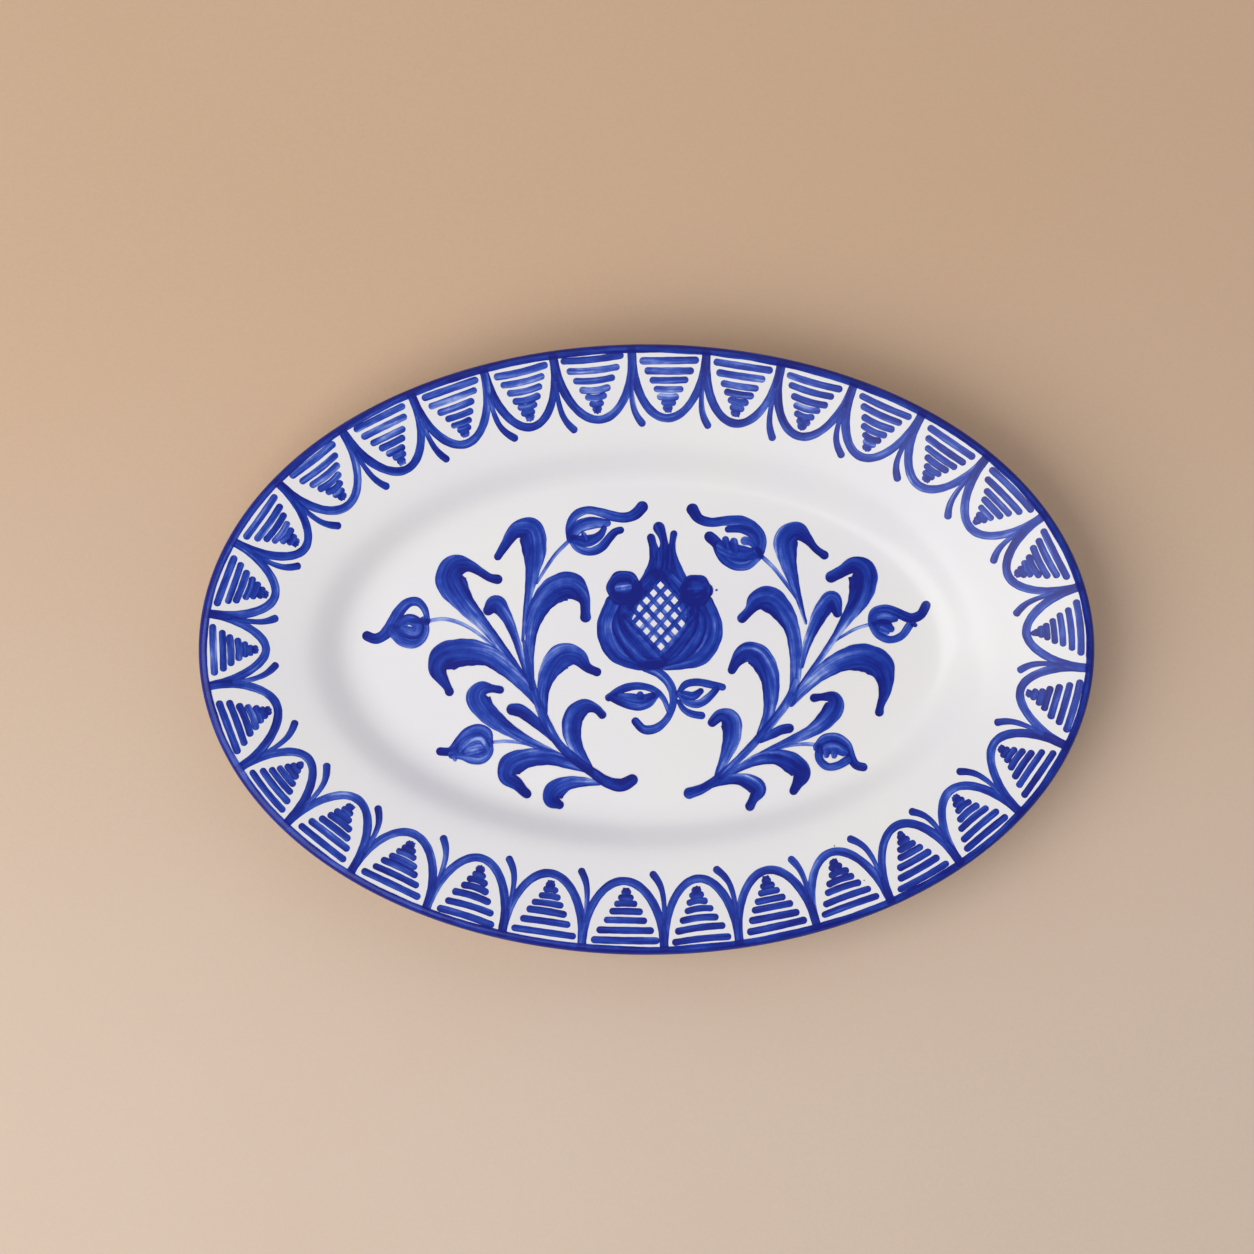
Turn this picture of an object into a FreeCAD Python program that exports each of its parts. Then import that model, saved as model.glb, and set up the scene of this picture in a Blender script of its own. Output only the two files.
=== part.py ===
import FreeCAD, Part
import math
import os

# Oval serving plate of tin-glazed earthenware, lying face up on its foot ring.
# Millimetres, +Z up, +X along the length. The origin is the middle of the plane that the foot rests on.

# ---- driving dimensions ----
LENGTH = 330.0
WIDTH = 225.0
HEIGHT = 30.0
FLOOR_HEIGHT = 8.5          # glazed well floor above the resting plane
LIP_RADIUS = 2.7            # the rim ends in a round lip, so the rim is twice this thick
RIM_SLOPE = math.radians(16.0)
GLAZE = 0.4                 # thickness of every glaze coat
GLAZE_LINE = 1.8            # the glaze stops this high on both sides of the foot ring
RECESS_HEIGHT = 3.0         # glazed underside of the well floor, inside the foot ring
FOOT_EDGE_RADIUS = 0.8      # rounding of the foot ring's two lower edges
FOOT_OUTER = (104.6, 56.1)  # half length and half width of the bare foot ring, outside
FOOT_INNER = (98.4, 49.9)   # and inside
FOOT_FILLET = 1.6           # how far up the back glaze runs straight before it turns outwards
RECESS_WALL = 0.7           # straight part of the glaze inside the foot ring
RECESS_TURN = 0.6           # how far in the glaze turns over onto the underside
RECESS_FLAT = 3.0           # and where the underside has become flat

# Every horizontal section of the plate is an ellipse. A ring is (half length, half width, height),
# and a skin of the plate is a row of control rings, read as the control points of a spline.

# ---- half sizes, and one helper that moves a ring ----

HALF_LENGTH = LENGTH / 2
HALF_WIDTH = WIDTH / 2
RIGHT_ANGLE = math.pi / 2
CORNER_WEIGHT = math.sqrt(0.5)  # middle weight of a quarter circle written as a rational quadratic


def moved(ring, outward, upward):
    """The same ring, grown outwards by one distance all round and lifted by another."""
    return (ring[0] + outward, ring[1] + outward, ring[2] + upward)


# The centre line of the round lip, and the two rings where the lip runs into the rim.
LIP_CENTRE = (HALF_LENGTH - LIP_RADIUS, HALF_WIDTH - LIP_RADIUS, HEIGHT - LIP_RADIUS)
TANGENT_LEG = 10.0              # straight length of rim that fixes the slope at the lip


def lip_point(angle, reach=LIP_RADIUS):
    """Ring on the lip's circle: angle 0 is outermost and a right angle is the top."""
    return moved(LIP_CENTRE, reach * math.cos(angle), reach * math.sin(angle))


def along_rim(ring, distance):
    """Ring reached by going inwards and down the slope of the rim."""
    return moved(ring, -distance * math.cos(RIM_SLOPE), -distance * math.sin(RIM_SLOPE))


# ---- control rings of the glazed surface ----

LIP_TOP = lip_point(RIM_SLOPE + RIGHT_ANGLE)
LIP_UNDER = lip_point(RIM_SLOPE - RIGHT_ANGLE)
CORNER_REACH = LIP_RADIUS / CORNER_WEIGHT

FACE_RINGS = [
    (99.0, 52.0, FLOOR_HEIGHT),          # edge of the flat well floor
    (105.5, 58.0, FLOOR_HEIGHT),
    (112.0, 64.0, 8.9),                  # foot of the wall
    (118.0, 69.0, 13.5),
    (124.5, 74.0, 18.6),                 # shoulder, where the wall turns into the rim
    (132.0, 80.5, 21.0),
    (142.0, 90.5, 24.0),
    along_rim(LIP_TOP, TANGENT_LEG),
    LIP_TOP,
]

LIP_RINGS = [
    LIP_TOP,
    lip_point(RIM_SLOPE + RIGHT_ANGLE / 2, CORNER_REACH),
    lip_point(RIM_SLOPE),
    lip_point(RIM_SLOPE - RIGHT_ANGLE / 2, CORNER_REACH),
    LIP_UNDER,
]
LIP_WEIGHTS = [1.0, CORNER_WEIGHT, 1.0, CORNER_WEIGHT, 1.0]

BACK_RINGS = [
    LIP_UNDER,
    along_rim(LIP_UNDER, TANGENT_LEG),
    (143.0, 91.0, 18.2),
    (133.0, 81.5, 15.0),                 # under the shoulder
    (125.5, 75.0, 11.2),
    (117.5, 68.0, 5.6),
    (109.5, 61.0, 4.4),
    moved((*FOOT_OUTER, GLAZE_LINE), GLAZE, FOOT_FILLET),
    moved((*FOOT_OUTER, GLAZE_LINE), GLAZE, 0.0),
]

RECESS_RINGS = [
    moved((*FOOT_INNER, GLAZE_LINE), -GLAZE, 0.0),
    moved((*FOOT_INNER, GLAZE_LINE), -GLAZE, RECESS_WALL),
    moved((*FOOT_INNER, RECESS_HEIGHT), -GLAZE - RECESS_TURN, 0.0),
    moved((*FOOT_INNER, RECESS_HEIGHT), -GLAZE - RECESS_FLAT, 0.0),
]


# ---- rings to surfaces ----

def inset(rings, depth):
    """Control rings of the surface that lies one glaze thickness inside, towards the clay.

    Rings run so that the clay is on their right-hand side: outwards on the face, inwards on the back.
    """
    result = []
    last = len(rings) - 1
    for index, ring in enumerate(rings):
        before = rings[max(index - 1, 0)]
        after = rings[min(index + 1, last)]
        outward = (after[0] - before[0] + after[1] - before[1]) / 2
        upward = after[2] - before[2]
        length = math.hypot(outward, upward)
        result.append(moved(ring, depth * upward / length, -depth * outward / length))
    return result


def clamped_knots(count, degree):
    """Knots and multiplicities of a spline that starts on its first ring and ends on its last."""
    spans = count - degree
    knots = [float(index) for index in range(spans + 1)]
    multiplicities = [degree + 1] + [1] * (spans - 1) + [degree + 1]
    return knots, multiplicities


# The nine control points of a whole ellipse, for half axes of 1, and their weights.
AROUND = [(1, 0), (1, 1), (0, 1), (-1, 1), (-1, 0), (-1, -1), (0, -1), (1, -1), (1, 0)]
AROUND_WEIGHTS = [1.0 if 0 in direction else CORNER_WEIGHT for direction in AROUND]
AROUND_KNOTS = [0.0, 1.0, 2.0, 3.0, 4.0]
AROUND_MULTIPLICITIES = [3, 2, 2, 2, 3]


def skin(rings, degree=3, weights=None):
    """Face whose horizontal sections are ellipses, with the rings as its control rings."""
    if weights is None:
        weights = [1.0] * len(rings)
        knots, multiplicities = clamped_knots(len(rings), degree)
    else:
        arcs = (len(rings) - 1) // 2
        knots = [float(index) for index in range(arcs + 1)]
        multiplicities = [3] + [2] * (arcs - 1) + [3]
    poles = []
    pole_weights = []
    for (half_length, half_width, height), weight in zip(rings, weights):
        poles.append([FreeCAD.Vector(half_length * x, half_width * y, height) for x, y in AROUND])
        pole_weights.append([weight * around for around in AROUND_WEIGHTS])
    surface = Part.BSplineSurface()
    surface.buildFromPolesMultsKnots(
        poles, multiplicities, AROUND_MULTIPLICITIES, knots, AROUND_KNOTS,
        False, False, degree, 2, pole_weights)
    return surface.toShape()


def arc_skin(start, corner, end):
    """Quarter-round between two rings, with the corner where its two tangents meet."""
    return skin([start, corner, end], 2, [1.0, CORNER_WEIGHT, 1.0])


def ruled(start, end):
    """Straight-sided strip between two rings."""
    return skin([start, end], 1)


def disc(ring):
    """Flat elliptical face that fills a ring."""
    half_length, half_width, height = ring
    outline = Part.Ellipse(FreeCAD.Vector(0, 0, height), half_length, half_width)
    return Part.Face(Part.Wire(outline.toShape()))


def flat_band(outer, inner):
    """Flat face between two rings at one height."""
    return disc(outer).cut(disc(inner)).Faces[0]


def closed_solid(faces):
    """One solid from faces that meet edge to edge."""
    shell = Part.Shell(faces)
    shell.sewShape()
    solid = Part.Solid(shell)
    if solid.Volume < 0:
        solid.reverse()
    return solid


# ---- the pieces ----

FACE_CLAY = inset(FACE_RINGS, GLAZE)
LIP_CLAY = [
    FACE_CLAY[-1],
    lip_point(RIM_SLOPE + RIGHT_ANGLE / 2, CORNER_REACH - GLAZE / CORNER_WEIGHT),
    lip_point(RIM_SLOPE, LIP_RADIUS - GLAZE),
    lip_point(RIM_SLOPE - RIGHT_ANGLE / 2, CORNER_REACH - GLAZE / CORNER_WEIGHT),
    lip_point(RIM_SLOPE - RIGHT_ANGLE, LIP_RADIUS - GLAZE),
]
BACK_CLAY = inset(BACK_RINGS, GLAZE)
RECESS_CLAY = inset(RECESS_RINGS, GLAZE)


def clay_body():
    """Well, wall, rim, lip and foot ring, bare only on the foot below the glaze line."""
    outer_edge = (*FOOT_OUTER, 0.0)
    inner_edge = (*FOOT_INNER, 0.0)
    outer_rest = moved(outer_edge, -FOOT_EDGE_RADIUS, 0.0)
    inner_rest = moved(inner_edge, FOOT_EDGE_RADIUS, 0.0)
    outer_side = moved(outer_edge, 0.0, FOOT_EDGE_RADIUS)
    inner_side = moved(inner_edge, 0.0, FOOT_EDGE_RADIUS)
    return closed_solid([
        disc(FACE_CLAY[0]),
        skin(FACE_CLAY),
        skin(LIP_CLAY, 2, LIP_WEIGHTS),
        skin(BACK_CLAY),
        ruled(BACK_CLAY[-1], outer_side),
        arc_skin(outer_side, outer_edge, outer_rest),
        flat_band(outer_rest, inner_rest),
        arc_skin(inner_rest, inner_edge, inner_side),
        ruled(inner_side, RECESS_CLAY[0]),
        skin(RECESS_CLAY),
        disc(RECESS_CLAY[-1]),
    ])


def face_glaze():
    """White coat on the well floor, the wall and the rim."""
    return closed_solid([
        disc(FACE_RINGS[0]),
        skin(FACE_RINGS),
        ruled(FACE_RINGS[-1], FACE_CLAY[-1]),
        skin(FACE_CLAY),
        disc(FACE_CLAY[0]),
    ])


def lip_band():
    """Blue-stained coat over the round lip."""
    return closed_solid([
        skin(LIP_RINGS, 2, LIP_WEIGHTS),
        ruled(LIP_RINGS[-1], LIP_CLAY[-1]),
        skin(LIP_CLAY, 2, LIP_WEIGHTS),
        ruled(LIP_RINGS[0], LIP_CLAY[0]),
    ])


def back_glaze():
    """White coat on the underside, from the lip to the outside of the foot ring."""
    return closed_solid([
        skin(BACK_RINGS),
        ruled(BACK_RINGS[-1], BACK_CLAY[-1]),
        skin(BACK_CLAY),
        ruled(BACK_RINGS[0], BACK_CLAY[0]),
    ])


def foot_recess_glaze():
    """White coat inside the foot ring."""
    return closed_solid([
        skin(RECESS_RINGS),
        disc(RECESS_RINGS[-1]),
        ruled(RECESS_RINGS[0], RECESS_CLAY[0]),
        skin(RECESS_CLAY),
        disc(RECESS_CLAY[-1]),
    ])


os.makedirs("parts", exist_ok=True)
for build in (clay_body, face_glaze, lip_band, back_glaze, foot_recess_glaze):
    piece = build()
    box = piece.BoundBox
    print(f"{build.__name__}: valid {piece.isValid()}, {piece.Volume / 1000:.1f} cm3, "
          f"x {box.XMin:.2f}..{box.XMax:.2f}, y {box.YMin:.2f}..{box.YMax:.2f}, "
          f"z {box.ZMin:.2f}..{box.ZMax:.2f}")
    piece.exportStep(f"parts/{build.__name__}.step")
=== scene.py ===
# %% [markdown]
# # A hand painted oval plate
#
# This plate is tin-glazed earthenware: a red-brown clay body, dipped in a white glaze that hides
# the clay, and painted in cobalt blue with a handful of loaded brush strokes before the last firing.
# The shape comes from one rule, an oval lathe, and every line of paint comes from another, a brush
# stroke laid on the glaze. Most of the file is about those two.
#
# Everything is in metres, in the frame of the CAD model: the plate lies face up on its foot ring,
# +X along its length, +Y across it and +Z up.

# %% Load the fixed frame
import math
import random

import bpy
import numpy as np
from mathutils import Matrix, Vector


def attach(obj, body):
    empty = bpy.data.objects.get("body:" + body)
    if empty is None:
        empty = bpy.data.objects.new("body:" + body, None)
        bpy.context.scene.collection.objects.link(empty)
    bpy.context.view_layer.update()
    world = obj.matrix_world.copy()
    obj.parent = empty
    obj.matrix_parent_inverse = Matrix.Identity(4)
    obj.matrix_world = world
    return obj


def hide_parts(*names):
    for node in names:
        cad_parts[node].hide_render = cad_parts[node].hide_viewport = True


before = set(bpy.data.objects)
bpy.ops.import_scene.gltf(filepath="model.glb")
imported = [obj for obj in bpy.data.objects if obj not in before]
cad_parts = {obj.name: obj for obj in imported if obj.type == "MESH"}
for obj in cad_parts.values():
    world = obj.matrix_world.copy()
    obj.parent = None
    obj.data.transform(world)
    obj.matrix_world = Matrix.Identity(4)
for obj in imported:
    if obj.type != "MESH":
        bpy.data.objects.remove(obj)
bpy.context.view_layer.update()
scene = bpy.context.scene

# %% [markdown]
# ## Small helpers
#
# Sizes on a plate are easiest to read in millimetres, so they are written that way and turned into
# metres with MM. Colours are written as the hex values a colour picker shows, and shaders want linear
# light, so one function converts them. Another adds a node with its values and links in one line,
# which keeps the node trees below short enough to read.

# %% Helpers for units, colours and nodes
MM = 0.001


def hex_colour(code):
    """Linear RGBA from an sRGB hex code."""
    channels = [int(code[index:index + 2], 16) / 255 for index in (1, 3, 5)]
    linear = [c / 12.92 if c <= 0.04045 else ((c + 0.055) / 1.055) ** 2.4 for c in channels]
    return (*linear, 1.0)


def add_node(tree, kind, inputs=None, **settings):
    """Add a node. Inputs are values, or sockets to link from, by socket name or number."""
    node = tree.nodes.new(kind)
    for name, value in settings.items():
        setattr(node, name, value)
    for name, value in (inputs or {}).items():
        if isinstance(value, bpy.types.NodeSocket):
            tree.links.new(value, node.inputs[name])
        else:
            node.inputs[name].default_value = value
    return node


def mix_colours(tree, factor, first, second, blend_type="MIX"):
    """Socket with the mix of two colours. A mix node holds its colour sockets at numbers 6 and 7."""
    node = add_node(tree, "ShaderNodeMix", {0: factor, 6: first, 7: second},
                    data_type="RGBA", blend_type=blend_type)
    return node.outputs[2]


def new_geometry_tree(name, sockets):
    """Geometry node tree with a geometry in and out, and one named input for each socket given."""
    tree = bpy.data.node_groups.new(name, "GeometryNodeTree")
    tree.interface.new_socket("Geometry", in_out="INPUT", socket_type="NodeSocketGeometry")
    tree.interface.new_socket("Geometry", in_out="OUTPUT", socket_type="NodeSocketGeometry")
    for socket_name, socket_type in sockets:
        tree.interface.new_socket(socket_name, in_out="INPUT", socket_type="NodeSocket" + socket_type)
    return tree, tree.nodes.new("NodeGroupInput"), tree.nodes.new("NodeGroupOutput")


def mesh_from_nodes(name, base, tree, values):
    """Run a geometry node tree on a mesh and keep the result as a plain mesh object."""
    maker = bpy.data.objects.new(name + "_maker", base)
    scene.collection.objects.link(maker)
    modifier = maker.modifiers.new("nodes", "NODES")
    modifier.node_group = tree
    for item in tree.interface.items_tree:
        if item.in_out == "INPUT" and item.name in values:
            modifier[item.identifier] = values[item.name]
    depsgraph = bpy.context.evaluated_depsgraph_get()
    mesh = bpy.data.meshes.new_from_object(maker.evaluated_get(depsgraph), depsgraph=depsgraph)
    bpy.data.objects.remove(maker)
    piece = bpy.data.objects.new(name, mesh)
    mesh.name = name
    scene.collection.objects.link(piece)
    print(f"{name}: {len(mesh.polygons)} faces")
    return piece


# %% [markdown]
# ## The camera, the floor and the light
#
# The plate is seen face on, so the camera looks straight down at it from a little over a metre with a
# long lens, which keeps the oval free of perspective. The plate sits slightly right of and below the
# middle of the picture. The camera comes first, because everything else is judged through it.

# %% Camera
VIEW_WIDTH = 461.3 * MM         # what the picture spans at the height of the rim
AIM = (-7.2 * MM, 8.3 * MM)
RIM_HEIGHT = 29.0 * MM
camera_data = bpy.data.cameras.new("camera")
camera_data.lens = 100.0
camera_data.clip_end = 20.0
camera = bpy.data.objects.new("camera", camera_data)
camera_distance = VIEW_WIDTH * camera_data.lens / camera_data.sensor_width
camera.location = (AIM[0], AIM[1], RIM_HEIGHT + camera_distance)
scene.collection.objects.link(camera)
scene.camera = camera
print("camera height in m:", round(camera.location.z, 3))

# %% [markdown]
# The floor is a plain warm beige sheet of card with a faint fibre in it. Its near side is painted a
# little paler, which is painted light for the stronger light that falls there, not a change in the card.
# Its cloudiness is broad and weak, so it stays quiet behind the plate.

# %% Floor
FLOOR_HALF = 4.0
LIGHT_FADE_HALF = 0.2                 # the tone turns from far to near within this of the middle
CLOUDINESS = 0.4
floor_material = bpy.data.materials.new("matt_card_warm_beige")
floor_material.use_nodes = True
tree = floor_material.node_tree
shader = tree.nodes["Principled BSDF"]
coords = add_node(tree, "ShaderNodeTexCoord")
mottle = add_node(tree, "ShaderNodeTexNoise", {
    "Vector": coords.outputs["Object"], "Scale": 9.0, "Detail": 4.0})
fibre = add_node(tree, "ShaderNodeTexNoise", {
    "Vector": coords.outputs["Object"], "Scale": 900.0, "Detail": 2.0})
place_on_card = add_node(tree, "ShaderNodeSeparateXYZ", {"Vector": coords.outputs["Object"]})
# Painted light: the card's colour turns paler towards the near side, in place of the stronger light there.
painted_light_fade = add_node(tree, "ShaderNodeMapRange", {
    "Value": place_on_card.outputs["Y"], "From Min": LIGHT_FADE_HALF, "From Max": -LIGHT_FADE_HALF,
    "To Min": 0.0, "To Max": 1.0}, interpolation_type="SMOOTHSTEP")
sand_with_painted_light = mix_colours(tree, painted_light_fade.outputs["Result"], hex_colour("#D2B191"), hex_colour("#DBC8B6"))
clouded = add_node(tree, "ShaderNodeMapRange", {
    "Value": mottle.outputs["Fac"], "To Min": 0.0, "To Max": CLOUDINESS})
tone = mix_colours(tree, clouded.outputs["Result"], sand_with_painted_light, hex_colour("#D3B9A0"))
grain = mix_colours(tree, 0.06, tone, fibre.outputs["Color"], "OVERLAY")
bump = add_node(tree, "ShaderNodeBump", {
    "Strength": 0.15, "Distance": 0.1 * MM, "Height": fibre.outputs["Fac"]})
tree.links.new(grain, shader.inputs["Base Color"])
tree.links.new(bump.outputs["Normal"], shader.inputs["Normal"])
shader.inputs["Roughness"].default_value = 0.95
shader.inputs["Specular IOR Level"].default_value = 0.2

floor_mesh = bpy.data.meshes.new("floor")
floor_corners = [(x * FLOOR_HALF, y * FLOOR_HALF, 0) for x, y in ((-1, -1), (1, -1), (1, 1), (-1, 1))]
floor_mesh.from_pydata(floor_corners, [], [(0, 1, 2, 3)])
floor_mesh.materials.append(floor_material)
floor = bpy.data.objects.new("floor", floor_mesh)
scene.collection.objects.link(floor)
print("floor side in m:", 2 * FLOOR_HALF)

# %% [markdown]
# Three big soft boxes light the plate. The key stands on the left, a little towards the near side, so
# the left wall of the well falls into a mild shade and the right wall is bright. A weak cool box on the
# right and a wide one beyond the far side lift the shadows, and a dim even sky fills the rest.

# %% Lights
def add_softbox(name, place, aim, width, height, power, colour):
    """Rectangular area light at a place, turned towards an aim point."""
    data = bpy.data.lights.new(name, "AREA")
    data.shape = "RECTANGLE"
    data.size = width
    data.size_y = height
    data.energy = power
    data.color = hex_colour(colour)[:3]
    light = bpy.data.objects.new(name, data)
    light.location = place
    light.rotation_euler = (Vector(aim) - Vector(place)).to_track_quat("-Z", "Y").to_euler()
    scene.collection.objects.link(light)


PLATE_MIDDLE = (0.0, 0.0, 0.02)
add_softbox("key_left", (-0.82, -0.42, 1.1), PLATE_MIDDLE, 1.4, 1.4, 15.5, "#FFFCF8")
add_softbox("fill_right", (1.5, 0.3, 1.5), PLATE_MIDDLE, 2.0, 2.0, 3.0, "#EEF0FF")
add_softbox("fill_far", (0.1, 1.7, 1.6), PLATE_MIDDLE, 3.0, 2.0, 7.5, "#FFFDFA")

world = bpy.data.worlds.new("studio")
world.use_nodes = True
world.node_tree.nodes["Background"].inputs["Color"].default_value = hex_colour("#F4F4FA")
world.node_tree.nodes["Background"].inputs["Strength"].default_value = 0.4
scene.world = world
scene.view_settings.view_transform = "Standard"
print("soft boxes:", len(bpy.data.lights))

# %% [markdown]
# ## The glazes and the clay
#
# Tin glaze is white because tiny grains of tin oxide hang in the glass, so it looks opaque and softly
# deep, with a glossy fired skin. It is never one even white: it is a little cooler where it lies thick
# and warmer where it runs thin, its skin has a faint orange peel, and a few specks of iron burn
# through. All of these patterns read object coordinates, so they run on over the joints between coats.

# %% Tin glaze
def new_material(name, roughness):
    """Material with a Principled shader, and the object coordinates that its patterns read."""
    material = bpy.data.materials.new(name)
    material.use_nodes = True
    tree = material.node_tree
    shader = tree.nodes["Principled BSDF"]
    shader.inputs["Roughness"].default_value = roughness
    coords = add_node(tree, "ShaderNodeTexCoord")
    return material, tree, shader, coords.outputs["Object"]


def add_noise(tree, place, size, detail=2.0):
    """Noise whose patches are about this size in metres."""
    return add_node(tree, "ShaderNodeTexNoise", {"Vector": place, "Scale": 1.0 / size, "Detail": detail})


def add_ramp(tree, factor, stops):
    """Colour ramp from (position, hex colour) stops."""
    ramp = add_node(tree, "ShaderNodeValToRGB", {"Fac": factor})
    elements = ramp.color_ramp.elements
    while len(elements) < len(stops):
        elements.new(1.0)
    for element, (position, code) in zip(elements, stops):
        element.position = position
        element.color = hex_colour(code)
    return ramp


def add_math(tree, operation, first, second=0.0, clamp=False):
    """Socket with the result of one sum."""
    node = add_node(tree, "ShaderNodeMath", {0: first, 1: second}, operation=operation, use_clamp=clamp)
    return node.outputs[0]


tin_glaze, tree, shader, place = new_material("tin_glaze_fired_glossy", 0.26)
shader.inputs["Specular IOR Level"].default_value = 0.42
thickness = add_noise(tree, place, 60 * MM, 3.0)
white = add_ramp(tree, thickness.outputs["Fac"], [(0.3, "#EDECEF"), (0.5, "#EFEEEF"), (0.72, "#F1EFED")])
speck_cells = add_node(tree, "ShaderNodeTexVoronoi", {"Vector": place, "Scale": 1.0 / (14 * MM)})
near_speck = add_math(tree, "LESS_THAN", speck_cells.outputs["Distance"], 0.022)
speck_chance = add_node(tree, "ShaderNodeSeparateColor", {"Color": speck_cells.outputs["Color"]})
chosen = add_math(tree, "GREATER_THAN", speck_chance.outputs["Red"], 0.72)
is_speck = add_math(tree, "MULTIPLY", near_speck, chosen)
speckled = mix_colours(tree, is_speck, white.outputs["Color"], hex_colour("#7C746C"))
tree.links.new(speckled, shader.inputs["Base Color"])
peel = add_noise(tree, place, 5 * MM)
peel_bump = add_node(tree, "ShaderNodeBump", {
    "Strength": 0.25, "Distance": 0.05 * MM, "Height": peel.outputs["Fac"]})
tree.links.new(peel_bump.outputs["Normal"], shader.inputs["Normal"])

# %% [markdown]
# Cobalt oxide is ground in water and brushed on the dry, thirsty glaze. Where the brush is full it
# fires to a dark blue, and where it drags it leaves paler streaks along the stroke. The paint gathers
# at the edges and where strokes cross. So the colour is one ramp from pale to dark blue, read by how
# much paint lies there. The load of the stroke, its darker inner side, its edges and its crossings
# arrive as one attribute of the mesh, and streaks drawn out along the stroke follow its brush map.

# %% Cobalt brushwork
FULL_BLUE = 1.0                 # paint load of the plain band on the lip


def cobalt_material(name, load_from_mesh):
    """Cobalt paint fired into the glaze. The brush map runs along a stroke and across it, in metres."""
    material, tree, shader, place = new_material(name, 0.26)
    shader.inputs["Specular IOR Level"].default_value = 0.35
    brush = add_node(tree, "ShaderNodeAttribute", attribute_name="brush")
    total = FULL_BLUE
    if load_from_mesh:
        total = add_node(tree, "ShaderNodeAttribute", attribute_name="paint").outputs["Fac"]
    for length, breadth, strength in ((14 * MM, 0.7 * MM, 0.75), (24 * MM, 2.6 * MM, 1.6)):
        drawn_out = add_node(tree, "ShaderNodeVectorMath", {
            0: brush.outputs["Vector"], 1: (1 / length, 1 / breadth, 1.0)}, operation="MULTIPLY")
        streaks = add_node(tree, "ShaderNodeTexNoise", {
            "Vector": drawn_out.outputs[0], "Scale": 1.0, "Detail": 2.0})
        centred = add_math(tree, "SUBTRACT", streaks.outputs["Fac"], 0.5)
        total = add_math(tree, "ADD", total, add_math(tree, "MULTIPLY", centred, strength))
    puddles = add_noise(tree, place, 3.5 * MM, 3.0)
    centred = add_math(tree, "SUBTRACT", puddles.outputs["Fac"], 0.5)
    total = add_math(tree, "ADD", total, add_math(tree, "MULTIPLY", centred, 0.45))
    blue = add_ramp(tree, total, [
        (0.0, "#A0B2EA"), (0.14, "#6D86D6"), (0.3, "#4360C3"), (0.46, "#2345B0"), (0.62, "#1136A3"),
        (0.78, "#052795"), (1.0, "#001380")])
    tree.links.new(blue.outputs["Color"], shader.inputs["Base Color"])
    peel = add_noise(tree, place, 5 * MM)
    relief = add_node(tree, "ShaderNodeBump", {
        "Strength": 0.25, "Distance": 0.05 * MM, "Height": peel.outputs["Fac"]})
    tree.links.new(relief.outputs["Normal"], shader.inputs["Normal"])
    return material


cobalt_strokes = cobalt_material("cobalt_oxide_brushed_under_gloss", True)
cobalt_lip = cobalt_material("cobalt_oxide_banded_on_the_lip", False)

# %% [markdown]
# The clay shows only on the foot ring, where the glaze was wiped off so that the plate wouldn't stick
# to the kiln shelf. Fired earthenware is a dull orange-buff with sandy grit and dark iron flecks.

# %% Bare earthenware
bare_clay, tree, shader, place = new_material("earthenware_biscuit_wiped", 0.9)
cloud = add_noise(tree, place, 12 * MM, 4.0)
grit = add_noise(tree, place, 0.6 * MM, 3.0)
clay_tone = add_ramp(tree, cloud.outputs["Fac"], [(0.3, "#B9835C"), (0.7, "#C99A73")])
gritty = mix_colours(tree, 0.35, clay_tone.outputs["Color"], grit.outputs["Color"], "SOFT_LIGHT")
tree.links.new(gritty, shader.inputs["Base Color"])
grit_bump = add_node(tree, "ShaderNodeBump", {
    "Strength": 0.6, "Distance": 0.15 * MM, "Height": grit.outputs["Fac"]})
tree.links.new(grit_bump.outputs["Normal"], shader.inputs["Normal"])

# %% [markdown]
# ## The body of the plate
#
# Every level cut through this plate is an oval, but not the same oval: the well is long and slim and
# the rim is fuller. So one point of its profile is three numbers, the oval's half length, half width
# and height, and the whole skin follows from a row of such points. A lathe does this for round work.
# This one is an oval lathe: geometry nodes take a profile drawn in those three numbers and turn each
# point into its oval. The profile uses the same driving dimensions as the CAD model.

# %% The profile of the plate
HALF_LENGTH = 165.0
HALF_WIDTH = 112.5
HEIGHT = 30.0
FLOOR_HEIGHT = 8.5
LIP_RADIUS = 2.7
RIM_SLOPE = math.radians(16.0)
GLAZE = 0.4
GLAZE_LINE = 1.8
RECESS_HEIGHT = 3.0
FOOT_OUTER = (104.6, 56.1)
FOOT_INNER = (98.4, 49.9)
FOOT_FILLET = 1.6
RECESS_WALL = 0.7
RECESS_TURN = 0.6
RECESS_FLAT = 3.0
TANGENT_LEG = 10.0
QUARTER = math.pi / 2
FULLNESS = 0.004                # how far the rim swells beyond a true oval between its ends and sides


def moved(ring, outward, upward):
    """The same oval, grown by one distance all round and lifted by another."""
    return (ring[0] + outward, ring[1] + outward, ring[2] + upward)


LIP_CENTRE = (HALF_LENGTH - LIP_RADIUS, HALF_WIDTH - LIP_RADIUS, HEIGHT - LIP_RADIUS)


def lip_point(angle, reach):
    """Oval on the lip's round edge: angle 0 is outermost and a quarter turn is the top."""
    return moved(LIP_CENTRE, reach * math.cos(angle), reach * math.sin(angle))


def lip_arc(reach, start, end, count):
    """Part of the way round the lip."""
    return [lip_point(angle, reach) for angle in np.linspace(start, end, count)]


def along_rim(ring, distance):
    """Oval reached by going inwards and down the slope of the rim."""
    return moved(ring, -distance * math.cos(RIM_SLOPE), -distance * math.sin(RIM_SLOPE))


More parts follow.
